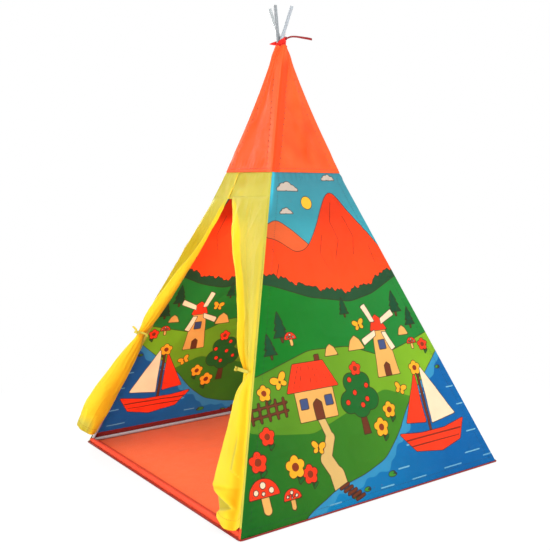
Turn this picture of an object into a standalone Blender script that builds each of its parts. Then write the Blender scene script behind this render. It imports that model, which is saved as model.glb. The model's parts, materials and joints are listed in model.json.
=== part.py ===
# Kids teepee: four jointed tubes leaning together over a square floor, with base rods,
# a sewn cloth cover, two gathered door curtains and ribbon ties.
# Metres, +Z up. The origin is the middle of the floor mat's underside; the door faces -Y.

from math import acos, cos, pi, radians, sin, sqrt

import bmesh
import bpy
from mathutils import Matrix, Vector

# Overall form
BASE_SIDE = 1.000
CROSSING_HEIGHT = 1.363
BEND_HEIGHT = 0.870
BEND_HALF_WIDTH = 0.1548
RING_HEIGHT = 0.943
TIP_RISE = 0.112
SHORT_TIP_RISE = 0.040

# Tubes and plastic pieces
TUBE_DIAMETER = 0.011
TUBE_WALL = 0.0012
LOWER_JOINT_HEIGHT = 0.480
UPPER_JOINT_HEIGHT = 0.935
SPIGOT_LENGTH = 0.050
COLLAR_LENGTH = 0.002
HUB_PIN_LENGTH = 0.034
TUBE_SETBACK = 0.0092
CROSSING_CLEARANCE = 0.0005

# Cloth
CLOTH = 0.0012
FIT = 0.0003
SLEEVE_EASE = 0.0005
SLEEVE_START = 0.100
SLEEVE_END = 1.290
CAP_TOP = 1.348
FLOOR_CORNER_RADIUS = 0.008
EDGE_BAND_HEIGHT = 0.020
EDGE_BAND_SETBACK = 0.012
HEM_SETBACK = 0.015
FLAP_EDGE = -0.058
FLAP_OVERLAP = 0.016
CURTAIN_SPLIT = 0.008

# Door curtains
CURTAIN_TOP = 0.862
LEFT_TIE_HEIGHT = 0.392
RIGHT_TIE_HEIGHT = 0.379
LEFT_HEM_HEIGHT = 0.034
RIGHT_HEM_HEIGHT = 0.032
RIGHT_HEM_LIFT = 0.042

# Ribbon ties
RIBBON_WIDTH = 0.011
TAIL_WIDTH = 0.008
RIBBON = 0.0012
KNOT_SIZE = 0.0150
KNOT_STRAND = 0.0026
LEFT_BAND_EASE = 0.0009
RIGHT_BAND_EASE = 0.0024
WRAP_HEIGHT = 0.019
WRAP_THICKNESS = 0.0030
LONG_TAIL = 0.082
TAIL_ARCH = 0.024
SHORT_TAIL = 0.015
CURTAIN_TAIL = 0.026
LEFT_KNOT_BEARING = -60
RIGHT_KNOT_BEARING = 50
TOP_KNOT_BEARING = 17
TOP_TAIL_BEARING = 54
TOP_TAIL_EASE = 0.0018
BAND_END_SHARE = 0.6
KNOT_DEPTH_SHARE = 0.4
TAIL_START_SHARE = 0.15
TAIL_END_SHARE = 0.87
LOBE_ANGLES = (150, 30)

# Counts
TUBE_SIDES_RESOLUTION = 4
ARC_STEPS = 3
FLAT_STEPS = 2
CURTAIN_COLUMNS = 16
CURTAIN_ROWS = 22
BENT_STEPS = 10
KNOT_STEPS = 30
PIN_SIDES = 12
WRAP_STEPS = 24
BAND_STEPS = 6
TAIL_STEPS = 4
LONG_TAIL_STEPS = 8

# Radii that stack outward from a pole's axis
TUBE_RADIUS = TUBE_DIAMETER / 2
BORE_RADIUS = TUBE_RADIUS - TUBE_WALL
PIN_RADIUS = BORE_RADIUS - FIT
SLEEVE_INNER = TUBE_RADIUS + SLEEVE_EASE
SLEEVE_OUTER = SLEEVE_INNER + CLOTH
COVER_INNER = SLEEVE_OUTER + FIT
COVER_OUTER = COVER_INNER + CLOTH
CURTAIN_INNER = COVER_OUTER + FIT
KNOT_REACH = (KNOT_SIZE - KNOT_STRAND) / 2

# Heights and widths that follow
MAT_TOP = CLOTH + FIT
FRAME_HEIGHT = MAT_TOP + SLEEVE_OUTER
POLE_BASE_HALF = BASE_SIDE / 2 - COVER_OUTER
LEAN = (POLE_BASE_HALF - BEND_HALF_WIDTH) / BEND_HEIGHT
BENT_SPAN = CROSSING_HEIGHT - BEND_HEIGHT
POLE_CURVE = 2 * (LEAN * BENT_SPAN - BEND_HALF_WIDTH) / BENT_SPAN ** 2
CROSSING_SLOPE = LEAN - POLE_CURVE * BENT_SPAN
CROSSING_OFFSET = (TUBE_DIAMETER + CROSSING_CLEARANCE) * sqrt(0.5 + CROSSING_SLOPE ** 2 / 2)

# Corners run anticlockwise seen from above, so each wall's cloth faces outward
CORNERS = {
    "front_left": (-1, -1),
    "front_right": (1, -1),
    "back_right": (1, 1),
    "back_left": (-1, 1),
}
SIDES = {
    "front": ("front_left", "front_right"),
    "right": ("front_right", "back_right"),
    "back": ("back_right", "back_left"),
    "left": ("back_left", "front_left"),
}

# Gathers of each curtain: how far down from its top to its hem, width across as a share of the
# floor's side, fold depth as a share of it too, and the turn of the bundle and of its root about
# the pole in degrees, where 0 points across the doorway and 90 straight out of it
LEFT_GATHER_SHARES = (
    (0.00, 0.086, 0.000, 0, 90),
    (0.12, 0.096, 0.004, 0, 90),
    (0.24, 0.080, 0.008, 4, 90),
    (0.36, 0.064, 0.011, 12, 91),
    (0.48, 0.042, 0.011, 38, 96),
    (0.568, 0.030, 0.0085, 78, 106),
    (0.66, 0.040, 0.012, 106, 118),
    (0.78, 0.058, 0.014, 124, 128),
    (0.90, 0.068, 0.014, 131, 131),
    (1.00, 0.070, 0.013, 132, 132),
)
RIGHT_GATHER_SHARES = (
    (0.00, 0.198, 0.000, 0, 90),
    (0.13, 0.174, 0.004, 0, 90),
    (0.28, 0.146, 0.009, 0, 90),
    (0.42, 0.116, 0.012, 0, 90),
    (0.52, 0.080, 0.011, 0, 90),
    (0.582, 0.052, 0.0085, 0, 90),
    (0.65, 0.072, 0.013, 0, 90),
    (0.78, 0.104, 0.018, 0, 90),
    (0.90, 0.132, 0.021, 0, 90),
    (1.00, 0.142, 0.022, 0, 90),
)
CURTAIN_FOLDS = 3
SEWN_FLAT_SHARE = 0.07
FOLD_RAMP_SHARE = 0.14
HEM_LIFT_START_SHARE = 0.60


def clear_scene():
    for old in list(bpy.data.objects):
        bpy.data.objects.remove(old, do_unlink=True)


def new_collection(name):
    collection = bpy.data.collections.new(name)
    bpy.context.scene.collection.children.link(collection)
    return collection


def plain_material(name, colour, roughness, metallic=0.0):
    material = bpy.data.materials.new(name)
    material.use_nodes = True
    shader = material.node_tree.nodes["Principled BSDF"]
    shader.inputs["Base Color"].default_value = (*colour, 1.0)
    shader.inputs["Roughness"].default_value = roughness
    shader.inputs["Metallic"].default_value = metallic
    material.diffuse_color = (*colour, 1.0)
    return material


def add_object(name, mesh, material, smooth_angle=40):
    """Links one finished piece under its own name."""
    piece = bpy.data.objects.new(name, mesh)
    mesh.materials.clear()
    mesh.materials.append(material)
    mesh.shade_smooth()
    mesh.set_sharp_from_angle(angle=radians(smooth_angle))
    PARTS.objects.link(piece)
    return piece


def thicken(piece, thickness, side, even=False):
    """Gives an open surface its cloth or wall thickness, outward for side 1 and inward for -1."""
    solidify = piece.modifiers.new("thickness", "SOLIDIFY")
    solidify.thickness = thickness
    solidify.offset = side
    solidify.use_even_offset = even
    return piece


def sheet(name, columns, rows, place, thickness, side, material):
    """An open grid whose points go where place(column, row) says, then given thickness."""
    grid = bmesh.new()
    bmesh.ops.create_grid(grid, x_segments=columns, y_segments=rows, size=1.0)
    for vertex in grid.verts:
        column = round((vertex.co.x + 1) / 2 * columns)
        row = round((vertex.co.y + 1) / 2 * rows)
        vertex.co = place(column, row)
    mesh = bpy.data.meshes.new(name)
    grid.to_mesh(mesh)
    grid.free()
    return thicken(add_object(name, mesh, material), thickness, side)


def sweep(name, points, radius, resolution, capped, cyclic=False):
    """A round tube along points, as a mesh whose caps are welded."""
    curve = bpy.data.curves.new(name, "CURVE")
    curve.dimensions = "3D"
    curve.bevel_depth = radius
    curve.bevel_resolution = resolution
    curve.use_fill_caps = capped
    curve.twist_mode = "MINIMUM"
    spline = curve.splines.new("POLY")
    spline.points.add(len(points) - 1)
    spline.use_cyclic_u = cyclic
    for target, point in zip(spline.points, points):
        target.co = (*point, 1.0)
    guide = bpy.data.objects.new(name, curve)
    GUIDES.objects.link(guide)
    graph = bpy.context.evaluated_depsgraph_get()
    mesh = bpy.data.meshes.new_from_object(guide.evaluated_get(graph))
    weld = bmesh.new()
    weld.from_mesh(mesh)
    bmesh.ops.remove_doubles(weld, verts=weld.verts, dist=FIT / 10)
    bmesh.ops.recalc_face_normals(weld, faces=weld.faces)
    weld.to_mesh(mesh)
    weld.free()
    bpy.data.objects.remove(guide, do_unlink=True)
    bpy.data.curves.remove(curve)
    mesh.name = name
    return mesh


def turned(name, profile, closed, sides, place, direction, material):
    """Turns a profile of (radius, height) points, listed down its outer side, about an axis."""
    outline = bmesh.new()
    corners = [outline.verts.new((radius, 0.0, height)) for radius, height in profile]
    for start, end in zip(corners, corners[1:]):
        outline.edges.new((start, end))
    if closed:
        outline.edges.new((corners[-1], corners[0]))
    mesh = bpy.data.meshes.new(name)
    outline.to_mesh(mesh)
    outline.free()
    piece = add_object(name, mesh, material)
    screw = piece.modifiers.new("turn", "SCREW")
    screw.angle = 2 * pi
    screw.steps = sides
    screw.render_steps = sides
    screw.use_merge_vertices = True
    screw.merge_threshold = FIT / 10
    screw.use_smooth_shade = True
    piece.location = place
    piece.rotation_mode = "QUATERNION"
    piece.rotation_quaternion = direction.to_track_quat("Z", "Y")
    return piece


# Poles: where each runs


def half_width(z):
    """Half the distance between neighbouring pole axes: straight below the bend, curved above."""
    if z <= BEND_HEIGHT:
        return POLE_BASE_HALF - LEAN * z
    rise = min(z, CROSSING_HEIGHT) - BEND_HEIGHT
    bent = BEND_HALF_WIDTH - LEAN * rise + POLE_CURVE * rise ** 2 / 2
    return bent - CROSSING_SLOPE * max(z - CROSSING_HEIGHT, 0)


def side_step(z):
    """How far a pole has moved sideways, so that the four pass each other at the crossing."""
    if z <= BEND_HEIGHT:
        return 0.0
    climbed_share = (z - BEND_HEIGHT) / BENT_SPAN
    if z <= CROSSING_HEIGHT:
        return CROSSING_OFFSET * climbed_share ** 2
    return CROSSING_OFFSET * (2 * climbed_share - 1)


def pole_point(corner, z):
    x_sign, y_sign = CORNERS[corner]
    step = side_step(z) / sqrt(2)
    return Vector((x_sign * half_width(z) - y_sign * step, y_sign * half_width(z) + x_sign * step, z))


def pole_direction(corner, z):
    reach = FRAME_HEIGHT / 4
    return (pole_point(corner, z + reach) - pole_point(corner, z - reach)).normalized()


def wall_normal(corner, neighbour, z):
    """Outward normal, at this pole, of the cloth that runs from it to the neighbouring pole."""
    across = pole_point(neighbour, z) - pole_point(corner, z)
    normal = across.cross(pole_direction(corner, z)).normalized()
    middle = pole_point(neighbour, z) + pole_point(corner, z)
    return normal if normal.dot(Vector((middle.x, middle.y, 0))) > 0 else -normal


def corner_normal(corner, z):
    """Outward direction square to a pole, midway between its two walls."""
    neighbours = [other for ends in SIDES.values() for other in ends if corner in ends and other != corner]
    return sum((wall_normal(corner, other, z) for other in neighbours), Vector()).normalized()


def turn_between(start, end, share):
    """The unit vector that lies a share of the way from one unit vector to another."""
    angle = acos(max(-1.0, min(1.0, start.dot(end))))
    return (start * sin(angle * (1 - share)) + end * sin(angle * share)) / sin(angle)


def seam_share(corner, neighbour, z, radius):
    """Share of a corner's arc that half the seam's gap takes."""
    angle = acos(corner_normal(corner, z).dot(wall_normal(corner, neighbour, z)))
    return FIT / 2 / (radius * angle)


def arc_point(corner, neighbour, z, radius, share):
    """A point of the cloth wrapped round a pole: share 0 at the corner seam, 1 where it runs flat."""
    spare = seam_share(corner, neighbour, z, radius)
    toward = turn_between(corner_normal(corner, z), wall_normal(corner, neighbour, z), spare + share * (1 - spare))
    return pole_point(corner, z) + radius * toward


def levels(low, high, straight_steps):
    """Heights from low to high: even along the straight poles, at shared stations where they bend."""
    if low < BEND_HEIGHT:
        top = min(high, BEND_HEIGHT)
        heights = [low + (top - low) * step / straight_steps for step in range(straight_steps + 1)]
    else:
        heights = [low]
    reach = CROSSING_HEIGHT + TIP_RISE
    gap = BENT_SPAN / BENT_STEPS
    station = BEND_HEIGHT + gap
    while station < reach:
        if low + gap / 4 < station < high - gap / 4:
            heights.append(station)
        station += gap
    if heights[-1] < high:
        heights.append(high)
    return heights


# Poles: tubes, joints, base rods and corner pieces


def stretch_points(corner, low, high):
    """Axis points of a pole's stretch."""
    return [pole_point(corner, z) for z in levels(low, high, 1)]


def make_tube(name, points, material):
    mesh = sweep(name, points, TUBE_RADIUS, TUBE_SIDES_RESOLUTION, capped=False)
    return thicken(add_object(name, mesh, material), TUBE_WALL, -1, even=True)


def make_pole(corner, plastic, joint_plastic):
    start = FRAME_HEIGHT + TUBE_SETBACK * pole_direction(corner, FRAME_HEIGHT).z
    rise = SHORT_TIP_RISE if corner == "front_right" else TIP_RISE
    half_collar = COLLAR_LENGTH / 2 + FIT
    cuts = {
        "lower": (start, LOWER_JOINT_HEIGHT - half_collar),
        "middle": (LOWER_JOINT_HEIGHT + half_collar, UPPER_JOINT_HEIGHT - half_collar),
        "upper": (UPPER_JOINT_HEIGHT + half_collar, CROSSING_HEIGHT + rise),
    }
    for stretch, (low, high) in cuts.items():
        make_tube(f"pole_{corner}_{stretch}", stretch_points(corner, low, high), plastic)
    for stretch, height in (("lower", LOWER_JOINT_HEIGHT), ("upper", UPPER_JOINT_HEIGHT)):
        half = SPIGOT_LENGTH / 2
        collar = COLLAR_LENGTH / 2
        profile = [
            (0.0, half),
            (PIN_RADIUS - FIT, half),
            (PIN_RADIUS, half - PIN_RADIUS / 2),
            (PIN_RADIUS, collar),
            (TUBE_RADIUS, collar),
            (TUBE_RADIUS, -collar),
            (PIN_RADIUS, -collar),
            (PIN_RADIUS, PIN_RADIUS / 2 - half),
            (PIN_RADIUS - FIT, -half),
            (0.0, -half),
        ]
        turned(f"pole_spigot_{corner}_{stretch}", profile, False, PIN_SIDES,
               pole_point(corner, height), pole_direction(corner, height), joint_plastic)


def rod_ends(side):
    """Axis ends of a base rod, set back from the corner pieces."""
    start, end = (pole_point(corner, FRAME_HEIGHT) for corner in SIDES[side])
    along = (end - start).normalized()
    return start + along * TUBE_SETBACK, end - along * TUBE_SETBACK


def make_corner_piece(corner, material):
    """A ball with three pins that plug into the pole and the two base rods."""
    centre = pole_point(corner, FRAME_HEIGHT)
    ball = bmesh.new()
    bmesh.ops.create_uvsphere(ball, u_segments=PIN_SIDES, v_segments=PIN_SIDES - 4, radius=SLEEVE_OUTER)
    bmesh.ops.translate(ball, verts=ball.verts, vec=centre)
    mesh = bpy.data.meshes.new(f"corner_piece_{corner}")
    ball.to_mesh(mesh)
    ball.free()
    piece = add_object(f"corner_piece_{corner}", mesh, material)
    x_sign, y_sign = CORNERS[corner]
    directions = (Vector((-x_sign, 0, 0)), Vector((0, -y_sign, 0)), pole_direction(corner, FRAME_HEIGHT))
    for number, direction in enumerate(directions):
        pin = bmesh.new()
        bmesh.ops.create_cone(pin, cap_ends=True, segments=PIN_SIDES, radius1=PIN_RADIUS,
                              radius2=PIN_RADIUS - FIT, depth=HUB_PIN_LENGTH)
        place = Matrix.Translation(centre + direction * HUB_PIN_LENGTH / 2)
        turn = direction.to_track_quat("Z", "Y").to_matrix().to_4x4()
        bmesh.ops.transform(pin, matrix=place @ turn, verts=pin.verts)
        pin_mesh = bpy.data.meshes.new(f"pin_{corner}_{number}")
        pin.to_mesh(pin_mesh)
        pin.free()
        pin_object = bpy.data.objects.new(pin_mesh.name, pin_mesh)
        pin_object.hide_render = True
        pin_object.display_type = "WIRE"
        GUIDES.objects.link(pin_object)
        union = piece.modifiers.new(f"pin_{number}", "BOOLEAN")
        union.operation = "UNION"
        union.object = pin_object


def make_frame(plastic, joint_plastic):
    for corner in CORNERS:
        make_pole(corner, plastic, joint_plastic)
        make_corner_piece(corner, joint_plastic)
    for side in SIDES:
        make_tube(f"base_rod_{side}", rod_ends(side), plastic)


# Cover: walls, cap, sleeves and floor


def cover_point(side, column, columns, z, radius):
    """A point of a full-width panel: arcs round both poles, flat between them."""
    start, end = SIDES[side]
    if column <= ARC_STEPS:
        return arc_point(start, end, z, radius, column / ARC_STEPS)
    if column >= columns - ARC_STEPS:
        return arc_point(end, start, z, radius, (columns - column) / ARC_STEPS)
    flat_share = (column - ARC_STEPS) / (columns - 2 * ARC_STEPS)
    first = arc_point(start, end, z, radius, 1)
    last = arc_point(end, start, z, radius, 1)
    return first.lerp(last, flat_share)


def cloth_foot(radius):
    """Pole height whose cloth, offset outward and so raised, ends just above the mat."""
    return MAT_TOP - radius * wall_normal("front_left", "front_right", 0).z


def make_panel(name, side, low, high, straight_steps, material):
    heights = levels(low, high, straight_steps)
    columns = 2 * ARC_STEPS + FLAT_STEPS
    sheet(
        name, columns, len(heights) - 1,
        lambda column, row: cover_point(side, column, columns, heights[row], COVER_INNER),
        CLOTH, 1, material,
    )


def make_sleeve(corner, material):
    points = stretch_points(corner, SLEEVE_START, SLEEVE_END)
    name = f"pole_sleeve_{corner}"
    mesh = sweep(name, points, SLEEVE_INNER, TUBE_SIDES_RESOLUTION, capped=False)
    thicken(add_object(name, mesh, material), CLOTH, 1, even=True)


def make_front_hem(material):
    """The tunnel sewn along the mat's front edge, round the front base rod."""
    start, end = (pole_point(corner, FRAME_HEIGHT) for corner in SIDES["front"])
    along = (end - start).normalized() * HEM_SETBACK
    mesh = sweep("floor_front_hem", [start + along, end - along], SLEEVE_INNER, TUBE_SIDES_RESOLUTION, capped=False)
    thicken(add_object("floor_front_hem", mesh, material), CLOTH, 1, even=True)


def make_edge_band(side, material):
    """The mat's turned-up edge, between a base rod and the foot of its wall."""
    start, end = SIDES[side]
    foot = cloth_foot(SLEEVE_INNER)

    def place(column, row):
        z = foot + EDGE_BAND_HEIGHT * row
        first = arc_point(start, end, z, SLEEVE_INNER, 1)
        last = arc_point(end, start, z, SLEEVE_INNER, 1)
        along = (last - first).normalized() * EDGE_BAND_SETBACK
        return (first + along).lerp(last - along, column)

    sheet(f"floor_edge_{side}", 1, 1, place, CLOTH, 1, material)


def make_floor(material):
    mat = bmesh.new()
    bmesh.ops.create_cube(mat, size=1.0)
    bmesh.ops.scale(mat, vec=(BASE_SIDE, BASE_SIDE, CLOTH), verts=mat.verts)
    bmesh.ops.translate(mat, vec=(0, 0, CLOTH / 2), verts=mat.verts)
    uprights = [edge for edge in mat.edges if abs(edge.verts[0].co.z - edge.verts[1].co.z) > CLOTH / 2]
    bmesh.ops.bevel(mat, geom=uprights, offset=FLOOR_CORNER_RADIUS, segments=ARC_STEPS, profile=0.5,
                    affect="EDGES", material=-1)
    mesh = bpy.data.meshes.new("floor_mat")
    mat.to_mesh(mesh)
    mat.free()
    add_object("floor_mat", mesh, material)


def flap_top_point(corner, neighbour, edge_x, tuck, share, z):
    """A point of a closed flap top: from the corner seam round the pole, then flat to its free edge."""
    if share <= 0.5:
        return arc_point(corner, neighbour, z, COVER_INNER, share * 2)
    first = arc_point(corner, neighbour, z, COVER_INNER, 1)
    free = arc_point(corner, neighbour, z, COVER_INNER - tuck, 1)
    free.x = edge_x
    return first.lerp(free, share * 2 - 1)


def make_flap_tops(material):
    """The closed tops of both door flaps, the left one lapped over the right one."""
    heights = levels(CURTAIN_TOP + FIT, RING_HEIGHT, 1)
    columns = 2 * ARC_STEPS
    sheet(
        "flap_top_left", columns, len(heights) - 1,
        lambda column, row: flap_top_point("front_left", "front_right", FLAP_EDGE + CURTAIN_SPLIT, 0.0,
                                           column / columns, heights[row]),
        CLOTH, 1, material,
    )
    sheet(
        "flap_top_right", columns, len(heights) - 1,
        lambda column, row: flap_top_point("front_right", "front_left", FLAP_EDGE - FLAP_OVERLAP,
                                           CLOTH + FIT, 1 - column / columns, heights[row]),
        CLOTH, 1, material,
    )


def make_flap_seam(corner, neighbour, material):
    """The narrow seam strip that runs down a front pole beside its curtain."""
    foot = cloth_foot(COVER_INNER)
    flipped = corner == "front_right"

    def place(column, row):
        z = foot + (CURTAIN_TOP - foot) * row
        share = column / ARC_STEPS
        return arc_point(corner, neighbour, z, COVER_INNER, 1 - share if flipped else share)

    side = corner.removeprefix("front_")
    sheet(f"flap_seam_{side}", ARC_STEPS, 1, place, CLOTH, 1, material)


# Door curtains


def read_shares(shares, down_share):
    """Reads a row of gathers at a share of the way down, eased between the rows given."""
    for (start, *low), (end, *high) in zip(shares, shares[1:]):
        if down_share <= end:
            part = (down_share - start) / (end - start)
            eased = part * part * (3 - 2 * part)
            return [a + (b - a) * (eased + part) / 2 for a, b in zip(low, high)]
    return list(shares[-1][1:])


def fold_wave(across_share):
    """Side to side course of the folds, growing from the sewn edge."""
    ramp = min(1.0, max(0.0, across_share - SEWN_FLAT_SHARE) / FOLD_RAMP_SHARE)
    return ramp * sin(2 * pi * CURTAIN_FOLDS * across_share)


def door_axes(corner, z):
    """Directions from a front pole: level across the doorway, and out of it."""
    neighbour = "front_right" if corner == "front_left" else "front_left"
    level = (pole_point(neighbour, z) - pole_point(corner, z)).normalized()
    square = level - pole_direction(corner, z) * level.dot(pole_direction(corner, z))
    return level / square.length, wall_normal(corner, neighbour, z)


def curtain_point(corner, shares, hem, lift, down_share, across_share):
    """A point of a gathered curtain; across_share runs from the sewn edge to the free edge."""
    width, depth, turn, root_turn = read_shares(shares, down_share)
    z = CURTAIN_TOP + (hem - CURTAIN_TOP) * down_share
    below_share = max(0.0, (down_share - HEM_LIFT_START_SHARE) / (1 - HEM_LIFT_START_SHARE))
    z += lift * below_share * across_share ** 2
    level, out = door_axes(corner, z)
    turn = radians(turn)
    root_turn = radians(root_turn)
    reach = BASE_SIDE * width * across_share
    swing = BASE_SIDE * depth * fold_wave(across_share)
    across = CURTAIN_INNER * cos(root_turn) + reach * cos(turn) - swing * sin(turn)
    outward = CURTAIN_INNER * sin(root_turn) + reach * sin(turn) + swing * cos(turn)
    return pole_point(corner, z) + level * across + out * outward


def make_curtain(side, shares, hem, lift, material):
    corner = f"front_{side}"

    def place(column, row):
        across_share = column / CURTAIN_COLUMNS
        if side == "right":
            across_share = 1 - across_share
        return curtain_point(corner, shares, hem, lift, 1 - row / CURTAIN_ROWS, across_share)

    sheet(f"curtain_{side}", CURTAIN_COLUMNS, CURTAIN_ROWS, place, CLOTH, 1, material)


# Ties


def knot_depth():
    """Half of a knot's thickness, square to the cloth it is tied on."""
    return KNOT_DEPTH_SHARE * KNOT_REACH + KNOT_STRAND / 2


def make_knot(name, centre, turn, material):
    """A small overhand knot: one closed strand that passes over and under itself."""
    points = []
    for step in range(KNOT_STEPS):
        angle = 2 * pi * step / KNOT_STEPS
        x = (sin(angle) + 2 * sin(2 * angle)) / 3
        y = (cos(angle) - 2 * cos(2 * angle)) / 3
        z = -KNOT_DEPTH_SHARE * sin(3 * angle)
        points.append(centre + turn @ (Vector((x, y, z)) * KNOT_REACH))
    mesh = sweep(name, points, KNOT_STRAND / 2, 1, capped=False, cyclic=True)
    add_object(name, mesh, material)


def knot_lobe(centre, turn, degrees, clearance):
    """A place just off the knot's edge, at an angle in the knot's own plane."""
    heading = turn @ Vector((cos(radians(degrees)), sin(radians(degrees)), 0))
    return centre + heading * (KNOT_SIZE / 2 + clearance), heading


def ribbon(name, points, across, material):
    """A flat ribbon whose middle line follows points."""
    sheet(name, len(points) - 1, 1, lambda column, row: points[column] + across * (row - 0.5),
          RIBBON, 0, material)


def hanging_course(root, heading, length, droop):
    """Points of a short ribbon end that leaves along heading and droops under its own weight."""
    course = []
    for step in range(TAIL_STEPS + 1):
        share = step / TAIL_STEPS
        course.append(root + heading * length * share - Vector((0, 0, droop)) * share ** 2)
    return course


def basis(x_axis, y_axis, z_axis):
    return Matrix((x_axis, y_axis, z_axis)).transposed()


def make_curtain_tie(side, shares, hem, tie_height, ease, knot_bearing, material):
    """A band that leaves the pole's seam, passes round the gathers and comes back, and its knot."""
    corner = f"front_{side}"
    width, depth, turn, root_turn = read_shares(shares, (tie_height - CURTAIN_TOP) / (hem - CURTAIN_TOP))
    level, out = door_axes(corner, tie_height)
    half = BASE_SIDE * depth + CLOTH + RIBBON + ease
    root = Vector((cos(radians(root_turn)), sin(radians(root_turn)))) * CURTAIN_INNER
    along = Vector((cos(radians(turn)), sin(radians(turn))))
    square = Vector((-along.y, along.x))
    reach = BASE_SIDE * width
    bulge = half * BAND_END_SHARE

    def spread(point):
        return pole_point(corner, tie_height) + level * point.x + out * point.y

    def end_point(angle):
        return root + along * (reach + bulge * cos(angle)) + square * half * sin(angle)

    course = [root + along * half - square * half]
    course += [end_point(-pi / 2 + pi * step / BAND_STEPS) for step in range(BAND_STEPS + 1)]
    course.append(root + along * FIT + square * half)
    if side == "right":
        course.reverse()
    axis = pole_direction(corner, tie_height)
    ribbon(f"tie_band_{side}", [spread(point) for point in course], axis * RIBBON_WIDTH, material)
    angle = radians(knot_bearing)
    away = along * cos(angle) / BAND_END_SHARE + square * sin(angle)
    away.normalize()
    centre = spread(end_point(angle) + away * (RIBBON / 2 + FIT + knot_depth()))
    facing = (level.normalized() * away.x + out * away.y).normalized()
    facing = (facing - axis * facing.dot(axis)).normalized()
    turn_matrix = basis(axis.cross(facing), axis, facing)
    make_knot(f"tie_knot_{side}", centre, turn_matrix, material)
    return centre, turn_matrix


def make_curtain_ties(material):
    centre, turn = make_curtain_tie("left", LEFT_GATHER_SHARES, LEFT_HEM_HEIGHT, LEFT_TIE_HEIGHT,
                                    LEFT_BAND_EASE, LEFT_KNOT_BEARING, material)
    droops = {"outer": CURTAIN_TAIL / 4, "inner": CURTAIN_TAIL / 2}
    for (end, droop), degrees in zip(droops.items(), LOBE_ANGLES):
        root, heading = knot_lobe(centre, turn, degrees, FIT)
        across = turn.col[2].cross(heading).normalized() * TAIL_WIDTH
        ribbon(f"tie_tail_left_{end}", hanging_course(root, heading, CURTAIN_TAIL, droop), across, material)
    make_curtain_tie("right", RIGHT_GATHER_SHARES, RIGHT_HEM_HEIGHT, RIGHT_TIE_HEIGHT,
                     RIGHT_BAND_EASE, RIGHT_KNOT_BEARING, material)


def hang_on_pole(side):
    """Parents a curtain and its tie to an empty whose Z axis is the pole that the curtain swings about."""
    corner = f"front_{side}"
    axis = bpy.data.objects.new(f"{side}_curtain_axis", None)
    GUIDES.objects.link(axis)
    down = -1 if side == "left" else 1
    turn = (pole_direction(corner, FRAME_HEIGHT) * down).to_track_quat("Z", "Y")
    place = Matrix.Translation(pole_point(corner, 0)) @ turn.to_matrix().to_4x4()
    axis.matrix_world = place
    for piece in list(PARTS.objects):
        if piece.name == f"curtain_{side}" or piece.name.startswith("tie_") and side in piece.name:
            piece.parent = axis
            piece.matrix_parent_inverse = place.inverted()


def bundle_radius(z):
    """Reach of the crossed tubes from the middle, at one height."""
    centre = pole_point("front_left", z)
    return sqrt(centre.x ** 2 + centre.y ** 2) + TUBE_RADIUS / pole_direction("front_left", z).z


def make_top_tie(material):
    """The ribbon wound round the crossing, its knot and its two ends."""
    bottom = CAP_TOP + COVER_OUTER * corner_normal("front_left", CAP_TOP).z + 2 * CLOTH
    top = bottom + WRAP_HEIGHT
    middle = (bottom + top) / 2
    inner = max(bundle_radius(bottom), bundle_radius(top)) + FIT
    outer = inner + WRAP_THICKNESS
    waist = outer - WRAP_THICKNESS / 3
    half = WRAP_HEIGHT / 2
    profile = [(inner, half), (waist, half), (outer, half / 2), (waist, 0.0), (outer, -half / 2),
               (waist, -half), (inner, -half)]
    turned("top_tie_wrap", profile, True, WRAP_STEPS, Vector((0, 0, middle)), Vector((0, 0, 1)), material)
    bearing = radians(TOP_KNOT_BEARING)
    facing = Vector((cos(bearing), sin(bearing), 0))
    up = Vector((0, 0, 1))
    turn = basis(up.cross(facing), up, facing)
    centre = facing * (outer + FIT + knot_depth()) + up * middle
    make_knot("top_tie_knot", centre, turn, material)
    root, heading = knot_lobe(centre, turn, LOBE_ANGLES[1], TOP_TAIL_EASE)
    tail = Vector((cos(radians(TOP_TAIL_BEARING)), sin(radians(TOP_TAIL_BEARING)), 0))
    arch_span = TAIL_END_SHARE - TAIL_START_SHARE
    course = []
    for step in range(LONG_TAIL_STEPS + 1):
        share = step / LONG_TAIL_STEPS
        lift = sin(pi * (TAIL_START_SHARE + arch_span * share)) - sin(pi * TAIL_START_SHARE)
        course.append(root + tail * LONG_TAIL * share + up * TAIL_ARCH * lift)
    ribbon("top_tie_long_tail", course, tail.cross(up) * TAIL_WIDTH, material)
    back = -tail
    start = back * (outer + FIT) + up * middle
    ribbon("top_tie_short_tail", hanging_course(start, back, SHORT_TAIL, SHORT_TAIL / 8),
           up * TAIL_WIDTH, material)


clear_scene()
PARTS = new_collection("kids_teepee")
GUIDES = new_collection("guides")


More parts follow.
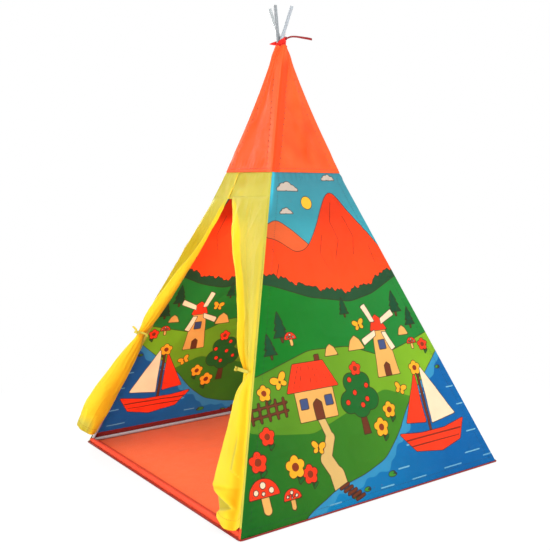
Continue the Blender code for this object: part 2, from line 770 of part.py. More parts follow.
def build():
    tube_plastic = plain_material("tube_plastic", (0.80, 0.82, 0.84), 0.35)
    joint_plastic = plain_material("joint_plastic", (0.62, 0.65, 0.68), 0.45)
    orange = plain_material("orange_cloth", (0.95, 0.20, 0.07), 0.75)
    red = plain_material("dark_red_cloth", (0.45, 0.06, 0.05), 0.80)
    yellow = plain_material("yellow_cloth", (0.95, 0.78, 0.05), 0.75)
    printed = plain_material("printed_cloth", (0.10, 0.38, 0.16), 0.75)
    ribbon_red = plain_material("red_ribbon", (0.80, 0.08, 0.04), 0.60)
    make_frame(tube_plastic, joint_plastic)
    make_floor(orange)
    make_front_hem(orange)
    foot = cloth_foot(COVER_INNER)
    for side in ("right", "back", "left"):
        make_panel(f"wall_{side}", side, foot, RING_HEIGHT, 3, printed)
        make_edge_band(side, red)
    for side in SIDES:
        make_panel(f"cap_{side}", side, RING_HEIGHT + FIT, CAP_TOP, 1, orange)
    for corner in CORNERS:
        make_sleeve(corner, orange)
    make_flap_tops(yellow)
    make_flap_seam("front_left", "front_right", yellow)
    make_flap_seam("front_right", "front_left", yellow)
    make_curtain("left", LEFT_GATHER_SHARES, LEFT_HEM_HEIGHT, 0.0, yellow)
    make_curtain("right", RIGHT_GATHER_SHARES, RIGHT_HEM_HEIGHT, RIGHT_HEM_LIFT, yellow)
    make_curtain_ties(yellow)
    hang_on_pole("left")
    hang_on_pole("right")
    make_top_tie(ribbon_red)


build()
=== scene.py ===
import json
import math

import bmesh
import bpy
import numpy as np
from mathutils import Matrix, Vector

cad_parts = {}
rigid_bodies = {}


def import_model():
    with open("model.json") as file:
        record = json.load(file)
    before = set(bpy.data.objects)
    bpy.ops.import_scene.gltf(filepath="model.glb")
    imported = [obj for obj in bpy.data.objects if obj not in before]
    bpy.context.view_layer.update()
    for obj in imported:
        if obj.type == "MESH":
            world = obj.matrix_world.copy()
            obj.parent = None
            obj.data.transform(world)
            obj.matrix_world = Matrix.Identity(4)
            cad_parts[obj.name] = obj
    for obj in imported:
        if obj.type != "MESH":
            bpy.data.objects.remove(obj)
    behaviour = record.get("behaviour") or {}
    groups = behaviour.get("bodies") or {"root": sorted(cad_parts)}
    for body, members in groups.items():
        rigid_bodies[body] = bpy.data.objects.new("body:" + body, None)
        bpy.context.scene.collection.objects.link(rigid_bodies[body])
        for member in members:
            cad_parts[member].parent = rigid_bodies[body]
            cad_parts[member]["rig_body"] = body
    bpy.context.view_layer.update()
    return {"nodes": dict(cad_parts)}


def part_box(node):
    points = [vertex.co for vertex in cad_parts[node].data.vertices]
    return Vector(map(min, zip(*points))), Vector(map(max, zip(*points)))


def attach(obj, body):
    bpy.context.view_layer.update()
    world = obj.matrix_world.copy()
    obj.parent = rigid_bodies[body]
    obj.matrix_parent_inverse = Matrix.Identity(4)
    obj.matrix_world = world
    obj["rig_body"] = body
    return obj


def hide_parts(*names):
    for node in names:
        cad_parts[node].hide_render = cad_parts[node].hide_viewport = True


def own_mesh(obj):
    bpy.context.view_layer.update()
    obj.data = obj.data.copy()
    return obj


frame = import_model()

nodes = frame["nodes"]

# The tent's own sizes in metres, as its solids have them
BEND_HEIGHT = 0.870
BEND_HALF = 0.1548
BASE_HALF = 0.4913
CROSSING = 1.363
RING = 0.943
CAP_TOP = 1.348
FOOT = 0.0088
COVER_R = 0.0083
CURTAIN_TOP = 0.866
TIE_HEIGHTS = {"left": 0.392, "right": 0.379}
LEAN = (BASE_HALF - BEND_HALF) / BEND_HEIGHT
BENT = CROSSING - BEND_HEIGHT
CURVE = 2 * (LEAN * BENT - BEND_HALF) / BENT ** 2
CROSS_SLOPE = LEAN - CURVE * BENT
CROSS_OFFSET = 0.0115 * math.sqrt(0.5 + CROSS_SLOPE ** 2 / 2)
SLOPE = math.sqrt(1 + LEAN ** 2)

# Points closer than this are one
WELD = 0.00001

# The way the photograph looks, turned about the vertical, and the ways across and towards the viewer
VIEW = math.radians(54.4539)
ACROSS_VIEW = Vector((math.cos(VIEW), math.sin(VIEW), 0))
TO_VIEWER = Vector((math.sin(VIEW), -math.cos(VIEW), 0))

CORNERS = {
    "front_left": (-1, -1),
    "front_right": (1, -1),
    "back_right": (1, 1),
    "back_left": (-1, 1),
}
SIDES = {
    "front": ("front_left", "front_right"),
    "right": ("front_right", "back_right"),
    "back": ("back_right", "back_left"),
    "left": ("back_left", "front_left"),
}


# Where the poles and the cloth on them run


def half_width(z):
    if z <= BEND_HEIGHT:
        return BASE_HALF - LEAN * z
    rise = min(z, CROSSING) - BEND_HEIGHT
    return BEND_HALF - LEAN * rise + CURVE * rise ** 2 / 2 - CROSS_SLOPE * max(z - CROSSING, 0)


def side_step(z):
    climbed = max(z - BEND_HEIGHT, 0) / BENT
    return CROSS_OFFSET * (climbed ** 2 if z <= CROSSING else 2 * climbed - 1)


def pole_point(corner, z):
    sx, sy = CORNERS[corner]
    step = side_step(z) / math.sqrt(2)
    return Vector((sx * half_width(z) - sy * step, sy * half_width(z) + sx * step, z))


def pole_direction(corner, z):
    return (pole_point(corner, z + 0.002) - pole_point(corner, z - 0.002)).normalized()


def wall_normal(corner, neighbour, z):
    across = pole_point(neighbour, z) - pole_point(corner, z)
    normal = across.cross(pole_direction(corner, z)).normalized()
    middle = pole_point(neighbour, z) + pole_point(corner, z)
    return normal if normal.dot(Vector((middle.x, middle.y, 0))) > 0 else -normal


def corner_normal(corner, z):
    beside = [other for ends in SIDES.values() for other in ends if corner in ends and other != corner]
    return sum((wall_normal(corner, other, z) for other in beside), Vector()).normalized()


def side_rows(side, heights):
    """At each height: both poles, the wall's normal at each and the two corner normals."""
    start, end = SIDES[side]
    rows = [
        [
            pole_point(start, z), pole_point(end, z),
            wall_normal(start, end, z), wall_normal(end, start, z),
            corner_normal(start, z), corner_normal(end, z),
        ]
        for z in heights
    ]
    return np.array([[list(v) for v in row] for row in rows])


def unit(vectors):
    return vectors / np.linalg.norm(vectors, axis=1)[:, None]


WRAP_COLUMNS = 4


def wrapped(rows, column, row, columns, radius):
    """Points, normals and level distance from the middle for cloth that goes round both poles."""
    p0, p1, n0, n1, c0, c1 = (rows[row, k] for k in range(6))
    near = np.clip(column / WRAP_COLUMNS, 0, 1)[:, None]
    far = np.clip((columns - column) / WRAP_COLUMNS, 0, 1)[:, None]
    flat = np.clip((column - WRAP_COLUMNS) / (columns - 2 * WRAP_COLUMNS), 0, 1)[:, None]
    out0 = unit(c0 * (1 - near) + n0 * near)
    out1 = unit(c1 * (1 - far) + n1 * far)
    start, end = p0 + radius * out0, p1 + radius * out1
    point = start + (end - start) * flat
    normal = unit(out0 * (1 - flat) + out1 * flat)
    length = np.linalg.norm((p1 + radius * n1) - (p0 + radius * n0), axis=1)
    arc = radius * math.pi / 4
    level = (flat[:, 0] - 0.5) * length - (1 - near[:, 0]) * arc + (1 - far[:, 0]) * arc
    return point, normal, level, length


RING_LIFTS = {"front_left": 0.008, "front_right": 0.0, "back_right": 0.0, "back_left": 0.004}


def lift_ring(point, side, along, amount):
    """Moves cloth up the poles with the seam of the ring, which sits higher at the left corner."""
    start, end = SIDES[side]
    along = np.clip(along, 0, 1)
    rise = (RING_LIFTS[start] * (1 - along) + RING_LIFTS[end] * along) * np.clip(amount, 0, 1)
    way = (np.array(pole_direction(start, RING)) * (1 - along)[:, None]
           + np.array(pole_direction(end, RING)) * along[:, None])
    return point + way * rise[:, None]


# Soft random shapes


def hills(x, y, size, seed):
    """Smooth random ups and downs between -1 and 1, about one to each size."""
    table = np.random.RandomState(seed).uniform(-1, 1, (64, 64))
    gx, gy = x / size + 7.3, y / size + 3.1
    ix, iy = np.floor(gx).astype(int), np.floor(gy).astype(int)
    fx, fy = gx - ix, gy - iy
    fx, fy = fx * fx * (3 - 2 * fx), fy * fy * (3 - 2 * fy)
    low = table[ix % 64, iy % 64] * (1 - fx) + table[(ix + 1) % 64, iy % 64] * fx
    high = table[ix % 64, (iy + 1) % 64] * (1 - fx) + table[(ix + 1) % 64, (iy + 1) % 64] * fx
    return low * (1 - fy) + high * fy


def creases(x, y, size, seed):
    """Sharp-topped folds, from 0 to 1."""
    return (1 - np.abs(hills(x, y, size, seed))) ** 4


def near_edge(distance, reach):
    return np.exp(-(distance / reach) ** 2)


# Building cloth


def new_piece(name, mesh, material):
    piece = bpy.data.objects.new(name, mesh)
    bpy.context.scene.collection.objects.link(piece)
    mesh.materials.append(material)
    mesh.shade_smooth()
    return piece


def cloth(name, columns, rows, place, material, thickness=0.0005, offset=-1):
    """A woven sheet. place(column, row) gives its points, its own flat map in metres and its attributes."""
    grid = bmesh.new()
    bmesh.ops.create_grid(grid, x_segments=columns, y_segments=rows, size=1.0)
    mesh = bpy.data.meshes.new(name)
    grid.to_mesh(mesh)
    grid.free()
    count = len(mesh.vertices)
    flat = np.empty(count * 3)
    mesh.vertices.foreach_get("co", flat)
    flat = flat.reshape(-1, 3)
    column = np.rint((flat[:, 0] + 1) / 2 * columns).astype(int)
    row = np.rint((flat[:, 1] + 1) / 2 * rows).astype(int)
    points, uv, marks = place(column, row)
    mesh.vertices.foreach_set("co", np.ascontiguousarray(points, dtype=float).ravel())
    corner = np.empty(len(mesh.loops), dtype=np.int32)
    mesh.loops.foreach_get("vertex_index", corner)
    cloth_map = mesh.uv_layers.new(name="cloth_map")
    cloth_map.data.foreach_set("uv", np.ascontiguousarray(uv[corner]).ravel())
    for mark, values in marks.items():
        mesh.attributes.new(mark, "FLOAT", "POINT").data.foreach_set("value", values.astype(np.float32))
    mesh.update()
    piece = new_piece(name, mesh, material)
    if thickness:
        solidify = piece.modifiers.new("cloth_thickness", "SOLIDIFY")
        solidify.thickness = thickness
        solidify.offset = offset
    return piece


def grid_points(columns, rows, place):
    column, row = (a.ravel() for a in np.meshgrid(np.arange(columns + 1), np.arange(rows + 1), indexing="ij"))
    points, uv, _ = place(column, row)
    return points.reshape(columns + 1, rows + 1, 3), uv.reshape(columns + 1, rows + 1, 2)


def flat_area(columns, rows, place):
    """The area of a sheet's own grid, in square metres."""
    points, _ = grid_points(columns, rows, place)
    u = points[1:, :-1] - points[:-1, :-1]
    v = points[:-1, 1:] - points[:-1, :-1]
    return float(np.linalg.norm(np.cross(u, v), axis=2).sum())


def clean_mesh(mesh):
    """Welds a mesh, turns its faces outwards and leaves it one empty cloth map and no material."""
    weld = bmesh.new()
    weld.from_mesh(mesh)
    bmesh.ops.remove_doubles(weld, verts=weld.verts, dist=WELD)
    bmesh.ops.recalc_face_normals(weld, faces=weld.faces)
    weld.to_mesh(mesh)
    weld.free()
    mesh.materials.clear()
    for layer in list(mesh.uv_layers):
        mesh.uv_layers.remove(layer)
    mesh.uv_layers.new(name="cloth_map")


def stitches(name, lines, material, body, spacing=0.007, length=0.0042, width=0.0009, lift=0.0004):
    """Short thread dashes along lines of (point, outward) pairs."""
    made = bmesh.new()
    for line in lines:
        points = np.array([list(p) for p, _ in line])
        outward = np.array([list(o) for _, o in line])
        run = np.concatenate([[0], np.cumsum(np.linalg.norm(np.diff(points, axis=0), axis=1))])
        for start in np.arange(spacing / 2, run[-1] - length, spacing):
            a, b, o = (np.array([np.interp(s, run, source[:, k]) for k in range(3)])
                       for s, source in
                       ((start, points), (start + length, points), (start + length / 2, outward)))
            o = Vector(o).normalized()
            a, b = Vector(a) + o * lift, Vector(b) + o * lift
            side_way = (b - a).cross(o).normalized() * (width / 2)
            rise = o * (width / 2)
            corners = [made.verts.new(p) for p in (a - side_way, a + side_way, b + side_way, b - side_way,
                                                   a + rise, b + rise)]
            for face in ((0, 1, 2, 3), (0, 4, 1), (2, 5, 3), (1, 4, 5, 2), (3, 5, 4, 0)):
                made.faces.new([corners[k] for k in face])
    bmesh.ops.recalc_face_normals(made, faces=made.faces)
    mesh = bpy.data.meshes.new(name)
    made.to_mesh(mesh)
    made.free()
    piece = new_piece(name, mesh, material)
    mesh.shade_flat()
    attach(piece, body)
    return piece


def seam_lines(grid, own_map, rows, inset, chosen):
    """Lines up a grid's chosen rows, inset from both poles, with the outward way at each point."""
    levels = own_map[..., 0] - 0.5
    widths = np.linalg.norm(rows[:, 1] - rows[:, 0], axis=1)

    def at(row, edge):
        order, target = levels[:, row], edge * (widths[row] / 2 - inset)
        point = [np.interp(target, order, grid[:, row, k]) for k in range(3)]
        column = int(np.clip(np.searchsorted(order, target), 1, len(order) - 1))
        u = grid[column, row] - grid[column - 1, row]
        v = grid[column, row + 1] - grid[column, row - 1]
        return point, np.cross(u, v)

    return [[at(row, edge) for row in chosen] for edge in (-1, 1)]


def row_line(grid, row):
    """The points along one row of a grid, with the outward way there."""
    return [(grid[k, row], np.cross(grid[k + 1, row] - grid[k - 1, row], grid[k, row + 1] - grid[k, row - 1]))
            for k in range(1, grid.shape[0] - 1)]


# Colours and cloth finishes


def rgb(red, green, blue):
    def straight(value):
        value /= 255
        return value / 12.92 if value <= 0.04045 else ((value + 0.055) / 1.055) ** 2.4

    return (straight(red), straight(green), straight(blue), 1.0)


class Nodes:
    """Short ways to add and join a material's nodes."""

    def __init__(self, name):
        self.material = bpy.data.materials.new(name)
        self.material.use_nodes = True
        self.tree = self.material.node_tree
        self.tree.nodes.clear()
        self.output = self.tree.nodes.new("ShaderNodeOutputMaterial")

    def add(self, kind, **settings):
        node = self.tree.nodes.new("ShaderNode" + kind)
        for key, value in settings.items():
            setattr(node, key, value)
        return node

    def join(self, source, target):
        self.tree.links.new(source, target)

    def put(self, socket, value):
        if isinstance(value, bpy.types.NodeSocket):
            self.join(value, socket)
        else:
            socket.default_value = value

    def math(self, operation, a, b=0.0):
        node = self.add("Math", operation=operation)
        self.put(node.inputs[0], a)
        self.put(node.inputs[1], b)
        return node.outputs[0]

    def ramp(self, value, low, high, start=0.0, end=1.0):
        node = self.add("MapRange")
        self.put(node.inputs["Value"], value)
        for key, number in (("From Min", low), ("From Max", high), ("To Min", start), ("To Max", end)):
            node.inputs[key].default_value = number
        return node.outputs[0]

    def blend(self, share, a, b, kind="MIX"):
        node = self.add("Mix", data_type="RGBA", blend_type=kind)
        self.put(node.inputs["Factor"], share)
        self.put(node.inputs[6], a)
        self.put(node.inputs[7], b)
        return node.outputs[2]

    def noise(self, where, scale, detail=3.0, rough=0.5):
        node = self.add("TexNoise")
        self.join(where, node.inputs["Vector"])
        node.inputs["Scale"].default_value = scale
        node.inputs["Detail"].default_value = detail
        node.inputs["Roughness"].default_value = rough
        return node.outputs["Fac"]

    def bump(self, height, distance, strength=1.0, under=None):
        node = self.add("Bump")
        self.join(height, node.inputs["Height"])
        node.inputs["Distance"].default_value = distance
        node.inputs["Strength"].default_value = strength
        if under is not None:
            self.join(under, node.inputs["Normal"])
        return node.outputs["Normal"]


THREADS = 900


def weave_height(n, threads):
    """Over and under threads on the cloth's own map; threads is how many to the metre."""
    place = n.add("UVMap", uv_map="cloth_map")
    split = n.add("SeparateXYZ")
    n.join(place.outputs["UV"], split.inputs[0])
    turn = 2 * math.pi * threads
    warp = n.math("SINE", n.math("MULTIPLY", split.outputs[0], turn))
    weft = n.math("SINE", n.math("MULTIPLY", split.outputs[1], turn))
    return n.math("MULTIPLY", warp, weft), place.outputs["UV"]


def finish_cloth(n, colour, through, roughness=0.62, sheen=0.08, share=0.3, crumple=0.0016):
    """Weave, soft crumples, a satin surface and light coming through thin cloth."""
    weave, own_map = weave_height(n, THREADS)
    where = n.add("TexCoord").outputs["Object"]
    grain = n.noise(own_map, 700, 2.0)
    patches = n.noise(where, 9, 3.0)
    tone = n.math("ADD", n.ramp(grain, 0.25, 0.75, -0.035, 0.035), n.ramp(patches, 0.3, 0.7, -0.055, 0.055))
    shade = n.add("HueSaturation")
    n.put(shade.inputs["Color"], colour)
    n.join(n.math("ADD", tone, 1.0), shade.inputs["Value"])
    soft = n.noise(where, 34, 4.0, 0.55)
    small = n.bump(weave, 0.00008, 0.6)
    normal = n.bump(soft, crumple, 0.55, small)
    surface = n.add("BsdfPrincipled")
    n.join(shade.outputs[0], surface.inputs["Base Color"])
    n.join(n.ramp(soft, 0.3, 0.7, roughness - 0.06, roughness + 0.06), surface.inputs["Roughness"])
    surface.inputs["Specular IOR Level"].default_value = 0.10
    surface.inputs["Sheen Weight"].default_value = sheen
    surface.inputs["Sheen Roughness"].default_value = 0.5
    n.join(normal, surface.inputs["Normal"])
    light = n.add("BsdfTranslucent")
    if through is None:
        n.join(n.blend(0.24, shade.outputs[0], rgb(225, 205, 170)), light.inputs["Color"])
    else:
        light.inputs["Color"].default_value = through
    n.join(normal, light.inputs["Normal"])
    mix = n.add("MixShader")
    mix.inputs[0].default_value = share
    n.join(surface.outputs[0], mix.inputs[1])
    n.join(light.outputs[0], mix.inputs[2])
    n.join(mix.outputs[0], n.output.inputs[0])
    return n.material


def yellow_cloth():
    """Thin yellow cloth, coloured by the gathered attribute, which holds painted light and shade: painted
    shade, painted highlights and deeper colour painted where layers stop the light.
    """
    n = Nodes("yellow_cloth_finish")
    tone = n.add("Attribute", attribute_name="gathered").outputs["Fac"]
    base = n.blend(n.ramp(tone, -1.0, 0.0), rgb(194, 174, 30), rgb(205, 201, 80))
    base = n.blend(n.ramp(tone, 0.0, 1.0), base, rgb(248, 222, 46))
    base = n.blend(n.ramp(tone, 1.0, 2.0), base, rgb(248, 180, 8))
    return finish_cloth(n, base, rgb(255, 216, 36), share=0.30, crumple=0.0014)


def plain_cloth(name, colour, **settings):
    return finish_cloth(Nodes(name), colour, None, **settings)


def orange_painted_light_and_shade_cloth():
    """Orange cloth, whose tone follows the channel attribute: paler in the doubled channel beside each pole,
    with painted highlight and painted shade there, and painted light and shade over the soft folds.
    """
    n = Nodes("orange_cloth_finish")
    doubled = n.add("Attribute", attribute_name="channel").outputs["Fac"]
    base = n.blend(n.ramp(doubled, -1.0, 0.0), rgb(255, 76, 24), rgb(255, 95, 41))
    base = n.blend(n.ramp(doubled, 0.0, 1.0), base, rgb(255, 108, 58))
    return finish_cloth(n, base, rgb(255, 104, 44), share=0.2, crumple=0.0024)


def hard_finish(name, colour, roughness, scratch=0.02, gloss=0.5):
    """Moulded or drawn plastic: faint streaks, handling marks and a soft gloss."""
    n = Nodes(name)
    where = n.add("TexCoord").outputs["Object"]
    marks = n.noise(where, 60, 5.0, 0.6)
    tone = n.blend(n.ramp(n.noise(where, 14, 2.0), 0.35, 0.65), colour,
                   tuple(c * 0.93 for c in colour[:3]) + (1,))
    surface = n.add("BsdfPrincipled")
    n.join(tone, surface.inputs["Base Color"])
    n.join(n.ramp(marks, 0.3, 0.7, roughness - 0.07, roughness + 0.09), surface.inputs["Roughness"])
    surface.inputs["Specular IOR Level"].default_value = gloss
    n.join(n.bump(marks, scratch * 0.003, 0.1), surface.inputs["Normal"])
    n.join(surface.outputs[0], n.output.inputs[0])
    return n.material


# The printed landscape, drawn as distances in metres: x from the wall's middle, y up the slope


def disc(x, y, cx, cy, radius):
    return np.hypot(x - cx, y - cy) - radius


def oval(x, y, cx, cy, rx, ry, degrees=0):
    c, s = math.cos(math.radians(degrees)), math.sin(math.radians(degrees))
    px, py = (x - cx) * c + (y - cy) * s, (y - cy) * c - (x - cx) * s
    k = np.hypot(px / rx, py / ry)
    return k * (k - 1) / np.maximum(np.hypot(px / rx ** 2, py / ry ** 2), 1e-6)


def bar(x, y, ax, ay, bx, by, radius):
    dx, dy = bx - ax, by - ay
    share = np.clip(((x - ax) * dx + (y - ay) * dy) / (dx * dx + dy * dy), 0, 1)
    return np.hypot(x - ax - dx * share, y - ay - dy * share) - radius


def patch(x, y, points, rounding=0.0):
    """Distance to a closed outline, less than 0 inside."""
    nearest = np.full(x.shape, 1e9)
    inside = np.zeros(x.shape, bool)
    for (ax, ay), (bx, by) in zip(points, points[1:] + points[:1]):
        nearest = np.minimum(nearest, bar(x, y, ax, ay, bx, by, 0.0))
        crosses = (ay > y) != (by > y)
        inside ^= crosses & (x < (bx - ax) * (y - ay) / ((by - ay) or 1e-9) + ax)
    return np.where(inside, -nearest, nearest) - rounding


def below(x, y, knots):
    """Distance under a smooth skyline through the knots."""
    kx, ky = (np.array(v, float) for v in zip(*knots))
    fine = np.linspace(kx[0], kx[-1], 400)
    line = np.interp(fine, kx, ky)
    kernel = np.hanning(31) / np.hanning(31).sum()
    line = np.convolve(np.pad(line, 15, mode="edge"), kernel, mode="valid")
    slope = np.interp(x, fine, np.gradient(line, fine))
    return (y - np.interp(x, fine, line)) / np.sqrt(1 + slope ** 2)


def join(*shapes):
    return np.minimum.reduce(shapes)


def cut(shape, hole):
    return np.maximum(shape, -hole)


def puffs(x, y, places):
    return join(*(disc(x, y, cx, cy, r) for cx, cy, r in places))


def cloud(x, y, cx, cy, size):
    lumps = [(-1.0, 0.0, 0.42), (-0.45, 0.32, 0.52), (0.2, 0.42, 0.6), (0.8, 0.12, 0.5), (1.25, -0.05, 0.34)]
    body = puffs(x, y, [(cx + a * size, cy + b * size, r * size) for a, b, r in lumps])
    return np.maximum(body, cy - 0.16 * size - y)


def flower(x, y, cx, cy, size):
    petals = [(cx + size * math.cos(a), cy + size * math.sin(a))
              for a in np.arange(5) * 2 * math.pi / 5 + 0.3]
    return puffs(x, y, [(px, py, size * 0.72) for px, py in petals])


def butterfly(x, y, cx, cy, size, degrees):
    c, s = math.cos(math.radians(degrees)), math.sin(math.radians(degrees))
    px, py = (x - cx) * c + (y - cy) * s, (y - cy) * c - (x - cx) * s
    px = np.abs(px)
    return join(oval(px, py, size * 0.75, size * 0.45, size * 0.8, size * 0.55, 30),
                oval(px, py, size * 0.55, -size * 0.5, size * 0.55, size * 0.42, -35))


FLOWERS = [(-0.40, 0.175, 0.017), (-0.285, 0.140, 0.019), (-0.242, 0.112, 0.016), (0.052, 0.190, 0.017),
           (-0.355, 0.235, 0.015), (0.245, 0.345, 0.014), (0.305, 0.415, 0.012), (-0.335, 0.35, 0.014),
           (0.005, 0.375, 0.013), (0.100, 0.235, 0.015)]
TOADSTOOLS = [(-0.400, 0.088, 0.050), (-0.315, 0.062, 0.030), (0.262, 0.425, 0.020), (-0.205, 0.49, 0.022)]
PINES = [(-0.235, 0.485, 0.080), (-0.285, 0.44, 0.066), (0.225, 0.52, 0.074), (0.275, 0.475, 0.062),
         (0.015, 0.535, 0.055)]
STACKS = [(0.030, 0.430, 0.032), (-0.07, 0.425, 0.025), (0.235, 0.455, 0.022)]
MILL = (0.135, 0.335)
HOUSE = (-0.165, 0.250)
BOAT = (0.255, 0.095)
TREE = (-0.005, 0.180)
PADS = [(-0.10, 0.022, 0.018), (-0.055, 0.030, 0.013), (0.05, 0.052, 0.017), (0.345, 0.335, 0.011)]


def mill_sails(x, y):
    cx, cy = MILL[0], MILL[1] + 0.155
    parts = []
    for turn in (22, 112, 202, 292):
        c, s = math.cos(math.radians(turn)), math.sin(math.radians(turn))
        px, py = (x - cx) * c + (y - cy) * s, (y - cy) * c - (x - cx) * s
        parts.append(patch(px, py, [(0.018, 0.0), (0.085, 0.0), (0.085, 0.022), (0.026, 0.018)]))
    return join(*parts)


def landscape(x, y):
    """The print's layers, lowest first: name, distance, colour, whether outlined."""
    hx, hy = HOUSE
    mx, my = MILL
    bx, by = BOAT
    tx, ty = TREE
    lumpy = 0.004 * np.sin(x * 210) + 0.003 * np.sin(x * 340 + 1)
    peak = below(x, y, [(-0.5, 0.60), (-0.30, 0.745), (-0.22, 0.800), (-0.17, 0.785), (-0.12, 0.745),
                        (-0.07, 0.755), (-0.02, 0.815), (0.02, 0.885), (0.06, 0.945), (0.09, 0.935),
                        (0.13, 0.87), (0.19, 0.80), (0.26, 0.70), (0.5, 0.62)])
    ridge = below(x, y, [(-0.5, 0.60), (-0.3, 0.74), (-0.21, 0.83), (-0.165, 0.855), (-0.10, 0.81),
                         (-0.03, 0.74), (0.1, 0.67), (0.5, 0.60)])
    gullies = join(*(bar(x, y, *line, 0.0012) for line in [
        (0.065, 0.905, 0.045, 0.84), (0.045, 0.84, 0.062, 0.78), (0.062, 0.78, 0.035, 0.72),
        (0.10, 0.86, 0.125, 0.79), (0.125, 0.79, 0.11, 0.73), (0.0, 0.80, -0.02, 0.74),
        (-0.02, 0.74, 0.0, 0.69), (-0.20, 0.77, -0.19, 0.71), (-0.19, 0.71, -0.21, 0.67),
        (0.18, 0.76, 0.19, 0.70)]))
    hill = below(x, y, [(-0.5, 0.68), (-0.25, 0.655), (-0.1, 0.605), (0.05, 0.580), (0.15, 0.600),
                        (0.25, 0.645), (0.5, 0.72)])
    bushes = hill - 0.030 - 0.007 * np.sin(x * 95) * np.sin(x * 31) - 0.005 * np.abs(np.sin(x * 160 + y * 25))
    meadow = below(x, y, [(-0.5, 0.36), (-0.3, 0.41), (-0.15, 0.45), (0.0, 0.445), (0.12, 0.40), (0.25, 0.43),
                          (0.5, 0.50)])
    lawn = below(x, y, [(-0.5, 0.28), (-0.36, 0.24), (-0.2, 0.215), (0.0, 0.27), (0.1, 0.30), (0.2, 0.26),
                        (0.5, 0.22)])
    path = join(*(bar(x, y, *seg[:4], seg[4]) for seg in [
        (hx + 0.005, hy + 0.0, hx + 0.02, hy - 0.055, 0.013),
        (hx + 0.02, hy - 0.055, hx - 0.01, hy - 0.11, 0.017),
        (hx - 0.01, hy - 0.11, hx + 0.015, hy - 0.16, 0.022),
        (hx + 0.015, hy - 0.16, hx + 0.02, hy - 0.205, 0.026)]))
    lake = below(x, y, [(-0.5, -0.2), (-0.36, -0.05), (-0.27, 0.012), (-0.16, 0.055), (-0.05, 0.072),
                        (0.04, 0.10), (0.12, 0.165), (0.19, 0.25), (0.26, 0.305), (0.33, 0.365),
                        (0.5, 0.52)])
    deep = lake + 0.024 + 0.007 * np.sin(x * 47) + 0.004 * np.sin(x * 103 + y * 60)
    ripples = join(*(bar(x, y, cx - w, cy, cx + w, cy, 0.0022) for cx, cy, w in [
        (0.10, 0.060, 0.022), (0.42, 0.115, 0.022), (0.02, 0.022, 0.026), (0.40, 0.052, 0.035),
        (0.30, 0.024, 0.040), (0.40, 0.205, 0.014), (0.15, 0.120, 0.016), (0.465, 0.028, 0.02),
        (0.375, 0.265, 0.015), (0.15, 0.020, 0.030), (-0.18, 0.018, 0.022), (0.245, 0.262, 0.012)]))
    crown = puffs(x, y, [(tx, ty + 0.125, 0.045), (tx - 0.038, ty + 0.10, 0.034),
                         (tx + 0.04, ty + 0.10, 0.034), (tx - 0.018, ty + 0.155, 0.030),
                         (tx + 0.024, ty + 0.152, 0.030), (tx, ty + 0.085, 0.036)])
    pine = join(*(patch(x, y, [(cx - h * w, cy + h * lo), (cx + h * w, cy + h * lo), (cx, cy + h * hi)])
                  for cx, cy, h in PINES
                  for lo, hi, w in ((0.15, 0.65, 0.36), (0.42, 0.86, 0.28), (0.66, 1.12, 0.2))))
    pads = join(*(cut(oval(x, y, cx, cy, r, r * 0.5),
                      patch(x, y, [(cx, cy), (cx + r * 1.4, cy + r * 0.5), (cx + r * 1.4, cy - r * 0.1)]))
                  for cx, cy, r in PADS))
    stems = join(*(bar(x, y, cx, cy, cx + 0.004, cy - s * 2.4, 0.0026) for cx, cy, s in FLOWERS),
                 *(oval(x, y, cx + s * 0.7, cy - s * 1.9, s * 0.7, s * 0.28, 35) for cx, cy, s in FLOWERS))
    trunks = join(patch(x, y, [(tx - 0.014, ty), (tx + 0.014, ty), (tx + 0.008, ty + 0.08),
                               (tx - 0.008, ty + 0.08)]),
                  *(bar(x, y, cx, cy, cx, cy + h * 0.2, h * 0.055) for cx, cy, h in PINES))
    tans = join(
        patch(x, y, [(hx - 0.070, hy), (hx + 0.070, hy), (hx + 0.070, hy + 0.095), (hx - 0.070, hy + 0.095)]),
        patch(x, y, [(mx - 0.046, my), (mx + 0.046, my), (mx + 0.026, my + 0.15), (mx - 0.026, my + 0.15)]),
        *(bar(x, y, cx, cy - s * 0.75, cx, cy, s * 0.26) for cx, cy, s in TOADSTOOLS),
        *(patch(x, y, [(cx - s, cy), (cx + s, cy), (cx + s * 0.55, cy + s * 0.95), (cx, cy + s * 1.35),
                       (cx - s * 0.55, cy + s * 0.95)], 0.001)
          for cx, cy, s in STACKS))
    rails = join(*(bar(x, y, fx, 0.272 + 0.05 * (fx + 0.4), fx, 0.322 + 0.05 * (fx + 0.4), 0.0042)
                   for fx in np.arange(-0.445, -0.27, 0.028)),
                 bar(x, y, -0.45, 0.283, -0.268, 0.293, 0.0034),
                 bar(x, y, -0.45, 0.306, -0.268, 0.316, 0.0034))
    jetty = join(*(bar(x, y, hx + 0.015 + 0.012 * k, 0.052 - 0.010 * k,
                       hx + 0.045 + 0.012 * k, 0.060 - 0.010 * k, 0.0048)
                   for k in range(5)))
    browns = join(
        patch(x, y, [(hx - 0.012, hy), (hx + 0.020, hy), (hx + 0.020, hy + 0.048), (hx + 0.004, hy + 0.060),
                     (hx - 0.012, hy + 0.048)]),
        patch(x, y, [(mx - 0.012, my), (mx + 0.012, my), (mx + 0.012, my + 0.034), (mx, my + 0.044),
                     (mx - 0.012, my + 0.034)]),
        patch(x, y, [(hx + 0.028, hy + 0.13), (hx + 0.046, hy + 0.13), (hx + 0.046, hy + 0.185),
                     (hx + 0.028, hy + 0.185)]),
        bar(x, y, bx - 0.006, by + 0.045, bx - 0.006, by + 0.268, 0.0048), rails, jetty)
